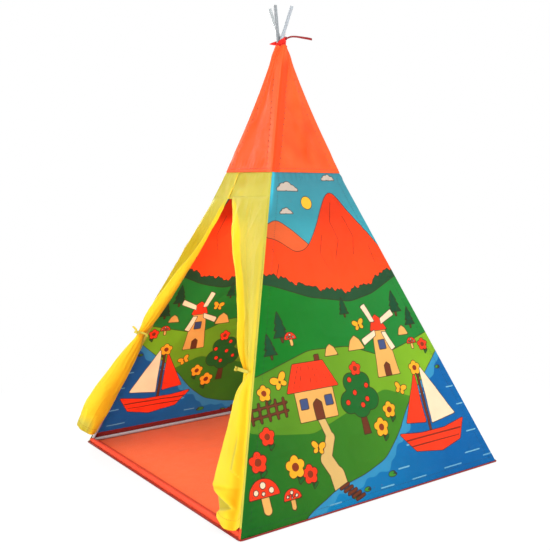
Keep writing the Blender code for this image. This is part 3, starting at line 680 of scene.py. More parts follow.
    reds = join(
        patch(x, y, [(hx - 0.092, hy + 0.088), (hx + 0.092, hy + 0.088), (hx + 0.055, hy + 0.165),
                     (hx - 0.055, hy + 0.165)], 0.002),
        patch(x, y, [(mx - 0.034, my + 0.145), (mx + 0.034, my + 0.145), (mx + 0.018, my + 0.182),
                     (mx, my + 0.195), (mx - 0.018, my + 0.182)], 0.001),
        *(np.maximum(disc(x, y, cx, cy - s * 0.1, s), cy - s * 0.08 - y) for cx, cy, s in TOADSTOOLS),
        *(flower(x, y, cx, cy, s) for cx, cy, s in FLOWERS[::2]),
        *(disc(x, y, tx + a, ty + b, 0.0085)
          for a, b in ((-0.045, 0.10), (-0.012, 0.125), (0.03, 0.10), (0.038, 0.14), (-0.022, 0.165),
                       (0.008, 0.085))),
        patch(x, y, [(bx - 0.135, by + 0.058), (bx - 0.05, by + 0.048), (bx + 0.05, by + 0.048),
                     (bx + 0.140, by + 0.064), (bx + 0.105, by + 0.006), (bx + 0.02, by - 0.014),
                     (bx - 0.085, by + 0.002)], 0.003),
        patch(x, y, [(bx - 0.018, by + 0.078), (bx - 0.018, by + 0.240), (bx - 0.098, by + 0.088)], 0.001))
    planks = join(bar(x, y, bx - 0.118, by + 0.036, bx + 0.122, by + 0.038, 0.0026),
                  bar(x, y, bx - 0.10, by + 0.016, bx + 0.108, by + 0.018, 0.0022),
                  *(bar(x, y, hx - 0.088 + 0.021 * k, hy + 0.098, hx - 0.050 + 0.0125 * k, hy + 0.158, 0.0012)
                    for k in range(1, 9)))
    creams = join(
        patch(x, y, [(bx + 0.006, by + 0.072), (bx + 0.008, by + 0.258), (bx + 0.112, by + 0.086)], 0.001),
        mill_sails(x, y),
        *(disc(x, y, cx + s * a, cy + s * b, s * r) for cx, cy, s in TOADSTOOLS for a, b, r in
          ((-0.5, 0.25, 0.16), (0.0, 0.55, 0.19), (0.48, 0.22, 0.17), (-0.05, 0.12, 0.12))))
    slates = join(*(patch(x, y, [(wx, wy), (wx + 0.026, wy), (wx + 0.026, wy + 0.028), (wx, wy + 0.028)],
                          0.001)
                    for wx, wy in
                    ((hx - 0.056, hy + 0.036), (hx + 0.034, hy + 0.036), (mx - 0.013, my + 0.085))))
    golds = join(*(flower(x, y, cx, cy, s) for cx, cy, s in FLOWERS[1::2]),
                 butterfly(x, y, -0.275, 0.375, 0.020, 20), butterfly(x, y, 0.165, 0.290, 0.016, -25),
                 butterfly(x, y, 0.06, 0.505, 0.016, 10), butterfly(x, y, -0.195, 0.175, 0.017, -15))
    hearts = join(*(disc(x, y, cx, cy, s * 0.62) for cx, cy, s in FLOWERS))
    return [
        ("sun", disc(x, y, -0.030, 0.905, 0.021), rgb(255, 205, 60), True),
        ("clouds", join(cloud(x, y, -0.095, 0.948, 0.027), cloud(x, y, 0.075, 0.983, 0.018),
                        cloud(x, y, -0.118, 0.872, 0.017)), rgb(212, 200, 186), True),
        ("ridge", ridge, rgb(226, 104, 52), True),
        ("peak", peak, rgb(255, 84, 32), True),
        ("gullies", gullies, rgb(150, 40, 20), False),
        ("bushes", bushes + 0.5 * lumpy, rgb(34, 84, 50), True),
        ("hill", hill, rgb(8, 136, 44), True),
        ("meadow", meadow, rgb(122, 172, 44), True),
        ("lawn", lawn, rgb(62, 132, 38), False),
        ("path", path, rgb(228, 196, 122), True),
        ("lake", lake, rgb(58, 158, 204), True),
        ("deep", deep, rgb(0, 116, 184), False),
        ("ripples", ripples, rgb(130, 196, 222), False),
        ("trunks", trunks, rgb(116, 58, 34), True),
        ("pads", pads, rgb(70, 160, 60), True),
        ("leaves", join(crown, stems), rgb(30, 112, 44), True),
        ("pines", pine, rgb(20, 84, 50), True),
        ("tans", tans, rgb(240, 190, 104), True),
        ("browns", browns, rgb(122, 60, 36), True),
        ("reds", reds, rgb(250, 66, 30), True),
        ("planks", planks, rgb(150, 48, 26), False),
        ("creams", creams, rgb(250, 232, 200), True),
        ("slates", slates, rgb(74, 92, 138), True),
        ("golds", golds, rgb(255, 190, 44), True),
        ("hearts", hearts, rgb(150, 60, 30), False),
    ]


def printed_cloth():
    """Thin cloth with the landscape on it, in inks with thin dark outlines."""
    n = Nodes("printed_cloth_finish")
    place = n.add("UVMap", uv_map="cloth_map")
    split = n.add("SeparateXYZ")
    n.join(place.outputs["UV"], split.inputs[0])
    shown = n.blend(n.ramp(split.outputs[1], 0.72, 1.0), rgb(60, 174, 188), rgb(70, 152, 168))
    fades = {
        "peak": (1, 0.66, 0.90, rgb(252, 82, 26), rgb(232, 60, 16)),
        "hill": (0, 0.25, 0.75, rgb(8, 130, 34), rgb(34, 142, 58)),
        "meadow": (0, 0.20, 0.80, rgb(94, 152, 36), rgb(140, 192, 40)),
        "lawn": (0, 0.02, 0.70, rgb(24, 112, 32), rgb(76, 148, 36)),
        "deep": (0, 0.25, 0.80, rgb(14, 142, 198), rgb(0, 108, 178)),
    }
    for layer, _, colour, outlined in landscape(np.zeros(1), np.zeros(1)):
        distance = n.add("Attribute", attribute_name="print_" + layer).outputs["Fac"]
        if layer in fades:
            axis, low, high, first, last = fades[layer]
            colour = n.blend(n.ramp(split.outputs[axis], low, high), first, last)
        shown = n.blend(n.ramp(distance, -0.0004, 0.0004, 1.0, 0.0), shown, colour)
        if outlined:
            line = n.ramp(n.math("ABSOLUTE", distance), 0.0008, 0.0016, 0.85, 0.0)
            shown = n.blend(line, shown, rgb(62, 34, 26))
    # A painted highlight in pale cyan along the cloth's ridge over a pole, high on the wall
    ridge = n.add("Attribute", attribute_name="ridge").outputs["Fac"]
    shown = n.blend(n.math("MULTIPLY", ridge, 0.85), shown, rgb(70, 214, 240))
    return finish_cloth(n, shown, None, roughness=0.60, sheen=0.05, share=0.38, crumple=0.0028)


orange = orange_painted_light_and_shade_cloth()
floor_orange = plain_cloth("floor_cloth_finish", rgb(255, 112, 62), share=0.0001, crumple=0.0010)
# The hem is the mat's own cloth, painted darker as shade on its turned-over edge
shaded_hem_orange = plain_cloth("floor_hem_finish", rgb(240, 74, 42), share=0.0001, crumple=0.0010)
yellow = yellow_cloth()
dark_red = plain_cloth("dark_red_cloth_finish", rgb(140, 38, 34), share=0.05, crumple=0.0006)
ribbon_red = plain_cloth("red_ribbon_finish", rgb(232, 42, 34), roughness=0.42, share=0.12, crumple=0.0005)
# A darker copy of the ribbon: painted shade, worn by the knots and the long end
shaded_ribbon_red = plain_cloth("red_ribbon_end_finish", rgb(150, 44, 46), roughness=0.42, share=0.12,
                         crumple=0.0005)
orange_thread = hard_finish("orange_thread_finish", rgb(180, 64, 36), 0.6)
yellow_thread = hard_finish("yellow_thread_finish", rgb(190, 140, 18), 0.6)
grey_thread = hard_finish("grey_thread_finish", rgb(58, 66, 62), 0.6)
tube_plastic = hard_finish("tube_plastic_finish", rgb(182, 184, 188), 0.38, gloss=0.3)
joint_plastic = hard_finish("joint_plastic_finish", rgb(150, 156, 164), 0.42)
# The upper tubes differ as they look in the photograph, where each catches the light in its own way
TIP_GREYS = {
    "back_left": rgb(142, 147, 150),
    "front_left": rgb(170, 176, 182),
    "back_right": rgb(172, 177, 178),
    "front_right": rgb(214, 206, 204),
}
tip_plastics = {
    corner: hard_finish(corner + "_tip_finish", grey, 0.45, scratch=0.004, gloss=0.15)
    for corner, grey in TIP_GREYS.items()
}
printed = printed_cloth()

for name, node in nodes.items():
    if name.startswith(("pole_spigot", "corner_piece")):
        finish = joint_plastic
    elif name.startswith("pole_") and name.endswith("_upper"):
        finish = tip_plastics[name[len("pole_"):-len("_upper")]]
    elif name.startswith("base_rod") or name.startswith("pole_") and "sleeve" not in name:
        finish = tube_plastic
    else:
        continue
    node.data.materials.clear()
    node.data.materials.append(finish)


def declare(piece, body, slot, replaced, **sheet_facts):
    if replaced:
        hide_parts(*replaced)
    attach(piece, body)


# Walls

WALL_COLUMNS, WALL_ROWS = 188, 236


def tension(level, up, length, top, seed):
    """How far the stretched cloth stands out or in: soft drags, crumples and puckers at its seams."""
    to_side = length / 2 - np.abs(level)
    calm = np.clip(to_side / 0.05, 0, 1) * np.clip((top - up) / 0.03, 0, 1) * np.clip(up / 0.03, 0, 1)
    sag = -0.0045 * np.clip(to_side / 0.16, 0, 1) ** 0.8 * np.sin(np.clip(up / top, 0, 1) * math.pi) ** 0.6
    drag = (0.0020 * hills(level + up * 0.55, up * 0.35, 0.085, seed)
            + 0.0011 * hills(level * 0.3, up - level * 0.4, 0.05, seed + 1))
    crumple = (0.0016 * creases(level + 0.2 * up, up, 0.075, seed + 2)
               + 0.0004 * hills(level, up, 0.022, seed + 3))
    pucker = (0.0016 * np.sin(level * 2 * math.pi / 0.021 + 2 * hills(level, up, 0.05, seed + 4))
              * near_edge(top - up - 0.020, 0.010))
    pucker += (0.0008 * np.sin(up * 2 * math.pi / 0.019 + 2 * hills(level, up, 0.06, seed + 5))
               * near_edge(to_side - 0.022, 0.014))
    hem = 0.0006 * np.sin(level * 2 * math.pi / 0.03) * near_edge(up - 0.012, 0.012)
    groove = -0.0007 * near_edge(to_side - 0.021, 0.0025)
    tucked = -0.0008 * near_edge(top - up, 0.007)
    return sag + (drag + crumple) * calm + pucker + hem + groove + tucked


def make_wall(side, seed):
    heights = np.linspace(FOOT - COVER_R * wall_normal(*SIDES[side], 0.1).z - 0.006, RING + 0.001,
                          WALL_ROWS + 1)
    rows = side_rows(side, heights)

    def place(column, row):
        point, normal, level, length = wrapped(rows, column, row, WALL_COLUMNS, COVER_R)
        up = heights[row] * SLOPE
        point = point + normal * tension(level, up, length, RING * SLOPE, seed)[:, None]
        point = lift_ring(point, side, level / length + 0.5, (heights[row] - 0.80) / (RING - 0.80))
        marks = {"print_" + layer: distance for layer, distance, _, _ in landscape(level, up)}
        # Where the painted highlight lies: on the cloth's ridge round the wall's first pole, high up
        marks["ridge"] = near_edge(column / WRAP_COLUMNS - 0.80, 0.9) * np.clip((up - 0.86) / 0.08, 0, 1)
        return point, np.column_stack([level + 0.5, up]), marks

    piece = cloth(f"wall_{side}_cloth", WALL_COLUMNS, WALL_ROWS, place, printed)
    declare(piece, "tent", "printed_cloth", [f"wall_{side}"], flat=(1.0, 1.012), area=0.640,
            held="stretched", rests_on=["pole_sleeve_" + corner for corner in SIDES[side]])
    grid, own_map = grid_points(WALL_COLUMNS, WALL_ROWS, place)
    lines = [row_line(grid, 4), *seam_lines(grid, own_map, rows, 0.021, range(8, WALL_ROWS - 3, 2))]
    stitches(f"wall_{side}_stitches", lines, grey_thread, "tent",
             length=0.0038, width=0.0007)


for number, side in enumerate(("right", "back", "left")):
    make_wall(side, 11 + 10 * number)


# Cap

CAP_COLUMNS, CAP_ROWS = 64, 110


def cap_shape(level, share, length, seed, strength):
    """Pleats drawn in under the tie, soft crumples, and the stitched channel beside each pole."""
    to_side = length / 2 - np.abs(level)
    across = level / length
    calm = np.clip(to_side / 0.03, 0, 1)
    pull = np.clip((share - 0.35) / 0.6, 0, 1) ** 2
    pleats = 0.0034 * pull * np.cos(across * 2 * math.pi * 3.5 + seed) * calm
    sag = -0.0040 * np.sin(np.clip(share, 0, 1) * math.pi) * np.clip(to_side / 0.05, 0, 1)
    soft = 0.0032 * hills(level * 0.9 + share * 0.02, share * 0.13, 0.042, seed)
    soft += 0.0024 * creases(level + share * 0.1, share * 0.22, 0.06, seed + 1) * np.clip(share / 0.1, 0, 1)
    soft += 0.0010 * hills(level, share * 0.4, 0.020, seed + 2)
    soft *= calm * np.clip(share / 0.05, 0, 1) * strength
    seam = 0.0005 * np.sin(level * 2 * math.pi / 0.019 + seed) * near_edge(share * 0.4 - 0.02, 0.014)
    groove = -0.0009 * near_edge(to_side - 0.019, 0.002) * (1 - pull)
    pucker = 0.0005 * np.sin(share * 400 / 15 * 2 * math.pi * 0.9) * near_edge(to_side - 0.018, 0.008)
    return pleats + sag + soft + seam + groove + pucker


def make_cap(side, seed):
    heights = np.linspace(RING - 0.005, CAP_TOP + 0.004, CAP_ROWS + 1)
    rows = side_rows(side, heights)
    strength = 0.65 if side == "front" else 2.5

    def place(column, row):
        share = (heights[row] - RING) / (CAP_TOP - RING)
        point, normal, level, length = wrapped(rows, column, row, CAP_COLUMNS, COVER_R)
        lift = 0.0016 * near_edge(share, 0.05) + 0.0045 * np.clip(share / 0.15, 0, 1)
        lift = lift + 0.0022 * near_edge(share - 0.93, 0.05)
        point = point + normal * (cap_shape(level, share, length, seed, strength) + lift)[:, None]
        point = lift_ring(point, side, level / length + 0.5, 1 - share)
        to_side = length / 2 - np.abs(level)
        # The channel beside each pole: partly paler doubled cloth, partly a painted highlight over the
        # front-right pole on the front face, and painted shade beside that pole on the right face
        channel = np.clip((0.0205 - to_side) / 0.003, 0, 1) * np.clip((0.93 - share) / 0.1, 0, 1)
        channel *= {"front": 0.9 * (level > 0) + 0.3 * (level < 0),
                    "right": -1.0 * (level < 0)}.get(side, 0.2)
        # Painted light and shade over the soft folds, with the right face painted darker all over
        fold_light_and_shade = 0.9 * hills(level * 1.1 + share * 0.06, share * 0.30 - level * 0.3, 0.050, seed + 5)
        fold_light_and_shade += 0.5 * hills(level - share * 0.10, share * 0.22 + level * 0.5, 0.024, seed + 6)
        fold_light_and_shade -= 0.35 * (side == "right")
        channel += ((0.35 if side == "front" else 0.75) * fold_light_and_shade * np.clip((to_side - 0.018) / 0.01, 0, 1)
                    * np.clip(share / 0.05, 0, 1))
        return point, np.column_stack([level + 0.5, heights[row] * SLOPE]), {"channel": channel}

    piece = cloth(f"cap_{side}_cloth", CAP_COLUMNS, CAP_ROWS, place, orange)
    area = flat_area(CAP_COLUMNS, CAP_ROWS, place)
    declare(piece, "tent", "orange_cloth", [f"cap_{side}"], flat=(0.275, 0.425), area=area,
            held="stretched", rests_on=["pole_sleeve_" + corner for corner in SIDES[side]])
    grid, own_map = grid_points(CAP_COLUMNS, CAP_ROWS, place)
    lines = seam_lines(grid, own_map, rows, 0.0195, range(4, 84))
    stitches(f"cap_{side}_channel_stitches", lines, orange_thread, "tent",
             spacing=0.020, length=0.0044, width=0.0030, lift=0.0006)
    stitches(f"cap_{side}_ring_stitches", [row_line(grid, 3)], orange_thread, "tent",
             spacing=0.0105, length=0.0040, width=0.0022, lift=0.0006)


for number, side in enumerate(SIDES):
    make_cap(side, 61 + 10 * number)


# Flap tops and seam strips

FLAP_LOW = 0.858
FLAP_COLUMNS, FLAP_ROWS, FLAP_WRAP = 50, 26, 6
STRIP_TOP = 0.868
STRIP_COLUMNS, STRIP_ROWS, HEM_END_ROWS = 8, 180, 12
STRIP_WIDTH = 0.0068


def make_flap_top(side, seed):
    corner = f"front_{side}"
    neighbour = "front_right" if side == "left" else "front_left"
    heights = np.linspace(FLAP_LOW, RING + 0.001, FLAP_ROWS + 1)
    rows = side_rows("front", heights)
    edge_low, edge_high = (-0.0635, -0.0455) if side == "left" else (-0.078, -0.075)

    def place(column, row):
        if side == "right":
            column = FLAP_COLUMNS - column
        z = heights[row]
        slot = 0 if side == "left" else 1
        near = np.clip(column / FLAP_WRAP, 0, 1)[:, None]
        out = unit(rows[row, 4 + slot] * (1 - near) + rows[row, 2 + slot] * near)
        start = rows[row, slot] + out * COVER_R
        flat = rows[row, slot] + rows[row, 2 + slot] * COVER_R
        edge = edge_low + (edge_high - edge_low) * (z - FLAP_LOW) / (RING - FLAP_LOW)
        share = np.clip((column - FLAP_WRAP) / (FLAP_COLUMNS - FLAP_WRAP), 0, 1)
        point = start.copy()
        point[:, 0] += (edge - flat[:, 0]) * share
        up = z * SLOPE
        level = point[:, 0]
        calm = (np.clip(share / 0.12, 0, 1) * np.clip((RING - z) / 0.02, 0, 1)
                * np.clip((z - FLAP_LOW) / 0.02, 0, 1))
        shape = (0.0016 * hills(level + up * 0.3, up, 0.030, seed)
                 + 0.0012 * creases(level, up * 0.7, 0.038, seed + 1) - 0.0008) * calm
        shape += (0.0008 * np.sin(level * 2 * math.pi / 0.018) * near_edge(RING - z - 0.016, 0.008)
                  - 0.0008 * near_edge(RING - z, 0.007))
        shape += (0.0014 * near_edge(np.abs(level - edge), 0.0045)) if side == "left" else -0.0016 * share
        shape -= 0.0020 * near_edge(z - FLAP_LOW, 0.005)
        point = point + rows[row, 2 + slot] * shape[:, None]
        half = rows[row, 1, 0]
        point = lift_ring(point, "front", (level + half) / (2 * half), (z - FLAP_LOW) / (RING - FLAP_LOW))
        # Painted light and shade: the left flap darker near its pole, a painted highlight along its rolled
        # free edge, soft painted light and shade at random, a painted dark band across it, and a little
        # darker towards the ring
        tone = (-0.25 * (1 - share) * (side == "left")
                + 1.3 * near_edge(level - edge, 0.012) * (side == "left"))
        tone = (tone + 0.26 * hills(level * 0.8, up * 1.3, 0.034, seed + 7) * calm
                - 0.30 * near_edge(z - 0.908, 0.014) * calm)
        return (point, np.column_stack([level + 0.5, up]),
                {"gathered": tone - 0.10 * np.clip((z - 0.9) / 0.04, 0, 1)})

    piece = cloth(f"flap_top_{side}_cloth", FLAP_COLUMNS, FLAP_ROWS, place, yellow)
    declare(piece, "tent", "yellow_cloth", [f"flap_top_{side}"],
            flat=(0.13 if side == "left" else 0.26, 0.092), area=flat_area(FLAP_COLUMNS, FLAP_ROWS, place),
            held="stretched", rests_on=[f"pole_sleeve_{corner}"])


make_flap_top("left", 101)
make_flap_top("right", 111)


def make_seam_strip(side, seed):
    """The strip down a front pole. Under the right one the floor's hem goes round the pole's foot."""
    corner = f"front_{side}"
    neighbour = "front_right" if side == "left" else "front_left"
    foot = 0.0225 if side == "right" else FOOT - 0.012

    def strip(name, heights, material):
        normals = np.array([[*corner_normal(corner, z), *wall_normal(corner, neighbour, z)] for z in heights])
        poles = np.array([list(pole_point(corner, z)) for z in heights])

        def place(column, row):
            share = column / STRIP_COLUMNS
            if side == "right":
                share = 1 - share
            out = unit(normals[row, :3] * (1 - share[:, None]) + normals[row, 3:] * share[:, None])
            up = heights[row] * SLOPE
            ripple = 0.00025 * np.sin(up * 2 * math.pi / 0.013 + hills(up, up, 0.05, seed) * 3)
            point = poles[row] + out * (COVER_R + ripple[:, None])
            return point, np.column_stack([share * STRIP_WIDTH, up]), {}

        return cloth(name, STRIP_COLUMNS, len(heights) - 1, place, material)

    piece = strip(f"flap_seam_{side}_cloth", np.linspace(foot, STRIP_TOP, STRIP_ROWS + 1), yellow)
    declare(piece, "tent", "yellow_cloth", [f"flap_seam_{side}"])
    if side == "right":
        end = strip("floor_front_hem_end", np.linspace(FOOT - 0.012, foot, HEM_END_ROWS + 1), shaded_hem_orange)
        declare(end, "tent", "orange_cloth", ["floor_front_hem"])


for number, side in enumerate(("left", "right")):
    make_seam_strip(side, 121 + number)


# Curtains. Each section runs from the seam on the pole to the free edge, at the height given first.
# The left one's points are (to the right, towards the viewer) as seen from the photographer's place,
# and the right one's are (along the doorway from the pole, out of the doorway).

LEFT_SECTIONS = (
    (0.868, ((-0.0072, 0.0051), (-0.001, 0.014), (0.006, 0.024), (0.013, 0.033), (0.019, 0.042),
             (0.026, 0.051), (0.033, 0.061), (0.040, 0.070), (0.046, 0.080))),
    (0.790, ((-0.0080, 0.0034), (-0.013, 0.012), (-0.007, 0.025), (0.004, 0.034), (0.015, 0.039),
             (0.023, 0.046), (0.033, 0.056), (0.042, 0.064), (0.045, 0.068))),
    (0.700, ((-0.0102, 0.0010), (-0.019, 0.009), (-0.015, 0.024), (-0.002, 0.033), (0.012, 0.036),
             (0.022, 0.046), (0.033, 0.055), (0.042, 0.054), (0.040, 0.044))),
    (0.620, ((-0.0102, 0.0000), (-0.020, 0.005), (-0.025, 0.015), (-0.019, 0.023), (-0.007, 0.033),
             (0.008, 0.043), (0.024, 0.045), (0.034, 0.038), (0.030, 0.026))),
    (0.510, ((-0.0102, 0.0000), (-0.021, 0.003), (-0.031, 0.011), (-0.031, 0.022), (-0.020, 0.034),
             (-0.003, 0.041), (0.013, 0.038), (0.023, 0.027), (0.017, 0.015))),
    (0.450, ((-0.0102, 0.0000), (-0.020, 0.002), (-0.031, 0.008), (-0.034, 0.018), (-0.026, 0.030),
             (-0.010, 0.036), (0.006, 0.031), (0.014, 0.020), (0.009, 0.011))),
    (0.392, ((-0.0083, 0.0030), (-0.0157, 0.0038), (-0.0235, 0.0074), (-0.0290, 0.0143), (-0.0300, 0.0215),
             (-0.0250, 0.0265), (-0.0172, 0.0265), (-0.0098, 0.0208), (-0.0062, 0.0135))),
    (0.330, ((-0.0102, 0.0000), (-0.024, 0.000), (-0.042, 0.004), (-0.053, 0.014), (-0.052, 0.028),
             (-0.040, 0.038), (-0.022, 0.037), (-0.002, 0.028), (0.0095, 0.014))),
    (0.200, ((-0.0102, 0.0000), (-0.034, -0.004), (-0.064, 0.000), (-0.082, 0.012), (-0.081, 0.030),
             (-0.062, 0.046), (-0.034, 0.046), (-0.006, 0.032), (0.0105, 0.013))),
    (0.130, ((-0.0102, 0.0000), (-0.036, -0.006), (-0.069, -0.002), (-0.090, 0.012), (-0.089, 0.032),
             (-0.068, 0.050), (-0.038, 0.050), (-0.009, 0.034), (0.0095, 0.013))),
    (0.034, ((-0.0102, 0.0000), (-0.034, -0.006), (-0.062, -0.002), (-0.080, 0.010), (-0.080, 0.028),
             (-0.061, 0.046), (-0.037, 0.046), (-0.013, 0.033), (0.000, 0.014))),
)
RIGHT_SECTIONS = (
    (0.868, ((0.0, 0.0088), (0.026, 0.009), (0.051, 0.009), (0.077, 0.009), (0.103, 0.009),
             (0.128, 0.009), (0.154, 0.009), (0.180, 0.009), (0.206, 0.009))),
    (0.754, ((0.0, 0.0090), (0.030, 0.012), (0.060, 0.011), (0.088, 0.008), (0.112, 0.004),
             (0.135, 0.009), (0.157, 0.017), (0.176, 0.014), (0.184, 0.004))),
    (0.700, ((0.0, 0.0090), (0.029, 0.013), (0.058, 0.011), (0.084, 0.008), (0.107, 0.003),
             (0.127, 0.008), (0.147, 0.017), (0.164, 0.014), (0.172, 0.004))),
    (0.620, ((0.0, 0.0090), (0.024, 0.013), (0.046, 0.011), (0.066, 0.007), (0.083, 0.000),
             (0.096, 0.007), (0.111, 0.017), (0.126, 0.014), (0.133, 0.003))),
    (0.516, ((0.0, 0.0090), (0.019, 0.013), (0.035, 0.011), (0.047, 0.006), (0.057, -0.002),
             (0.068, 0.007), (0.082, 0.018), (0.094, 0.014), (0.100, 0.003))),
    (0.430, ((0.0, 0.0090), (0.014, 0.014), (0.028, 0.012), (0.039, 0.004), (0.047, -0.004),
             (0.057, 0.006), (0.071, 0.017), (0.084, 0.014), (0.089, 0.002))),
    (0.379, ((0.0, 0.0090), (0.009, 0.0120), (0.018, 0.0105), (0.025, 0.003), (0.030, -0.003),
             (0.036, 0.002), (0.042, 0.0078), (0.048, 0.0055), (0.050, -0.002))),
    (0.328, ((0.0, 0.0090), (0.016, 0.008), (0.040, 0.016), (0.068, 0.012), (0.072, -0.004),
             (0.062, -0.018), (0.068, -0.014), (0.080, -0.016), (0.072, -0.030))),
    (0.200, ((0.0, 0.0090), (0.022, 0.000), (0.052, 0.020), (0.096, 0.018), (0.103, -0.006),
             (0.090, -0.032), (0.102, -0.026), (0.124, -0.024), (0.110, -0.052))),
    (0.122, ((0.0, 0.0090), (0.025, -0.003), (0.062, 0.022), (0.119, 0.020), (0.125, -0.009),
             (0.106, -0.040), (0.124, -0.032), (0.150, -0.028), (0.132, -0.062))),
    (0.082, ((0.0, 0.0090), (0.026, -0.003), (0.063, 0.023), (0.127, 0.021), (0.128, -0.011),
             (0.108, -0.044), (0.128, -0.034), (0.156, -0.028), (0.136, -0.068))),
    (0.032, ((0.0, 0.0090), (0.026, 0.009), (0.056, 0.022), (0.082, 0.018), (0.110, -0.015),
             (0.104, -0.049), (0.128, -0.036), (0.152, -0.028), (0.136, -0.074))),
)
HEM_LIFTS = {
    "left": (0.0, 0.008, 0.028, 0.046, 0.044, 0.032, 0.019, 0.004, 0.000),
    "right": (-0.006, -0.021, -0.025, -0.009, 0.002, 0.014, 0.026, 0.034, 0.046),
}
CURTAIN_COLUMNS, CURTAIN_ROWS = 128, 260
CURTAIN_WIDTH = 0.30
SECTION_GAPS = 8


def rounded_step(a, b, c, d, t):
    """A place between b and c, at share t, on a rounded course through all four."""
    return 0.5 * (2 * b + (c - a) * t + (2 * a - 5 * b + 4 * c - d) * t ** 2
                  + (3 * b - a - 3 * c + d) * t ** 3)


def course(values, steps):
    """A rounded course through evenly spaced values, steps of it to each gap."""
    padded = np.concatenate([2 * values[:1] - values[1:2], values, 2 * values[-1:] - values[-2:-1]])
    t = (np.arange(steps) / steps).reshape(-1, *([1] * (values.ndim - 1)))
    parts = []
    for k in range(len(values) - 1):
        parts.append(rounded_step(*padded[k:k + 4], t))
    return np.concatenate([*parts, values[-1:]])


def section_table(sections, rows, columns, high, low, tie):
    """The curtain's section at every row, from its few drawn ones."""
    heights = np.array([z for z, _ in sections])[::-1]
    drawn = np.array([points for _, points in sections])[::-1]
    even = np.stack([course(section, columns // SECTION_GAPS) for section in drawn])
    fine = np.linspace(low, high, rows + 1)
    table = np.empty((rows + 1, columns + 1, 2))
    for column in range(columns + 1):
        for k in range(2):
            table[:, column, k] = np.interp(fine, heights, even[:, column, k])

    def smoothed(size):
        weights = np.hanning(size) / np.hanning(size).sum()
        padded = np.pad(table, ((size // 2,) * 2, (0, 0), (0, 0)), mode="edge")
        return sum(padded[k:k + rows + 1] * weights[k] for k in range(size))

    rounded, pinched = smoothed(35), smoothed(13)
    at_tie = near_edge(fine - tie, 0.035)[:, None, None]
    return rounded * (1 - at_tie) + pinched * at_tie, fine


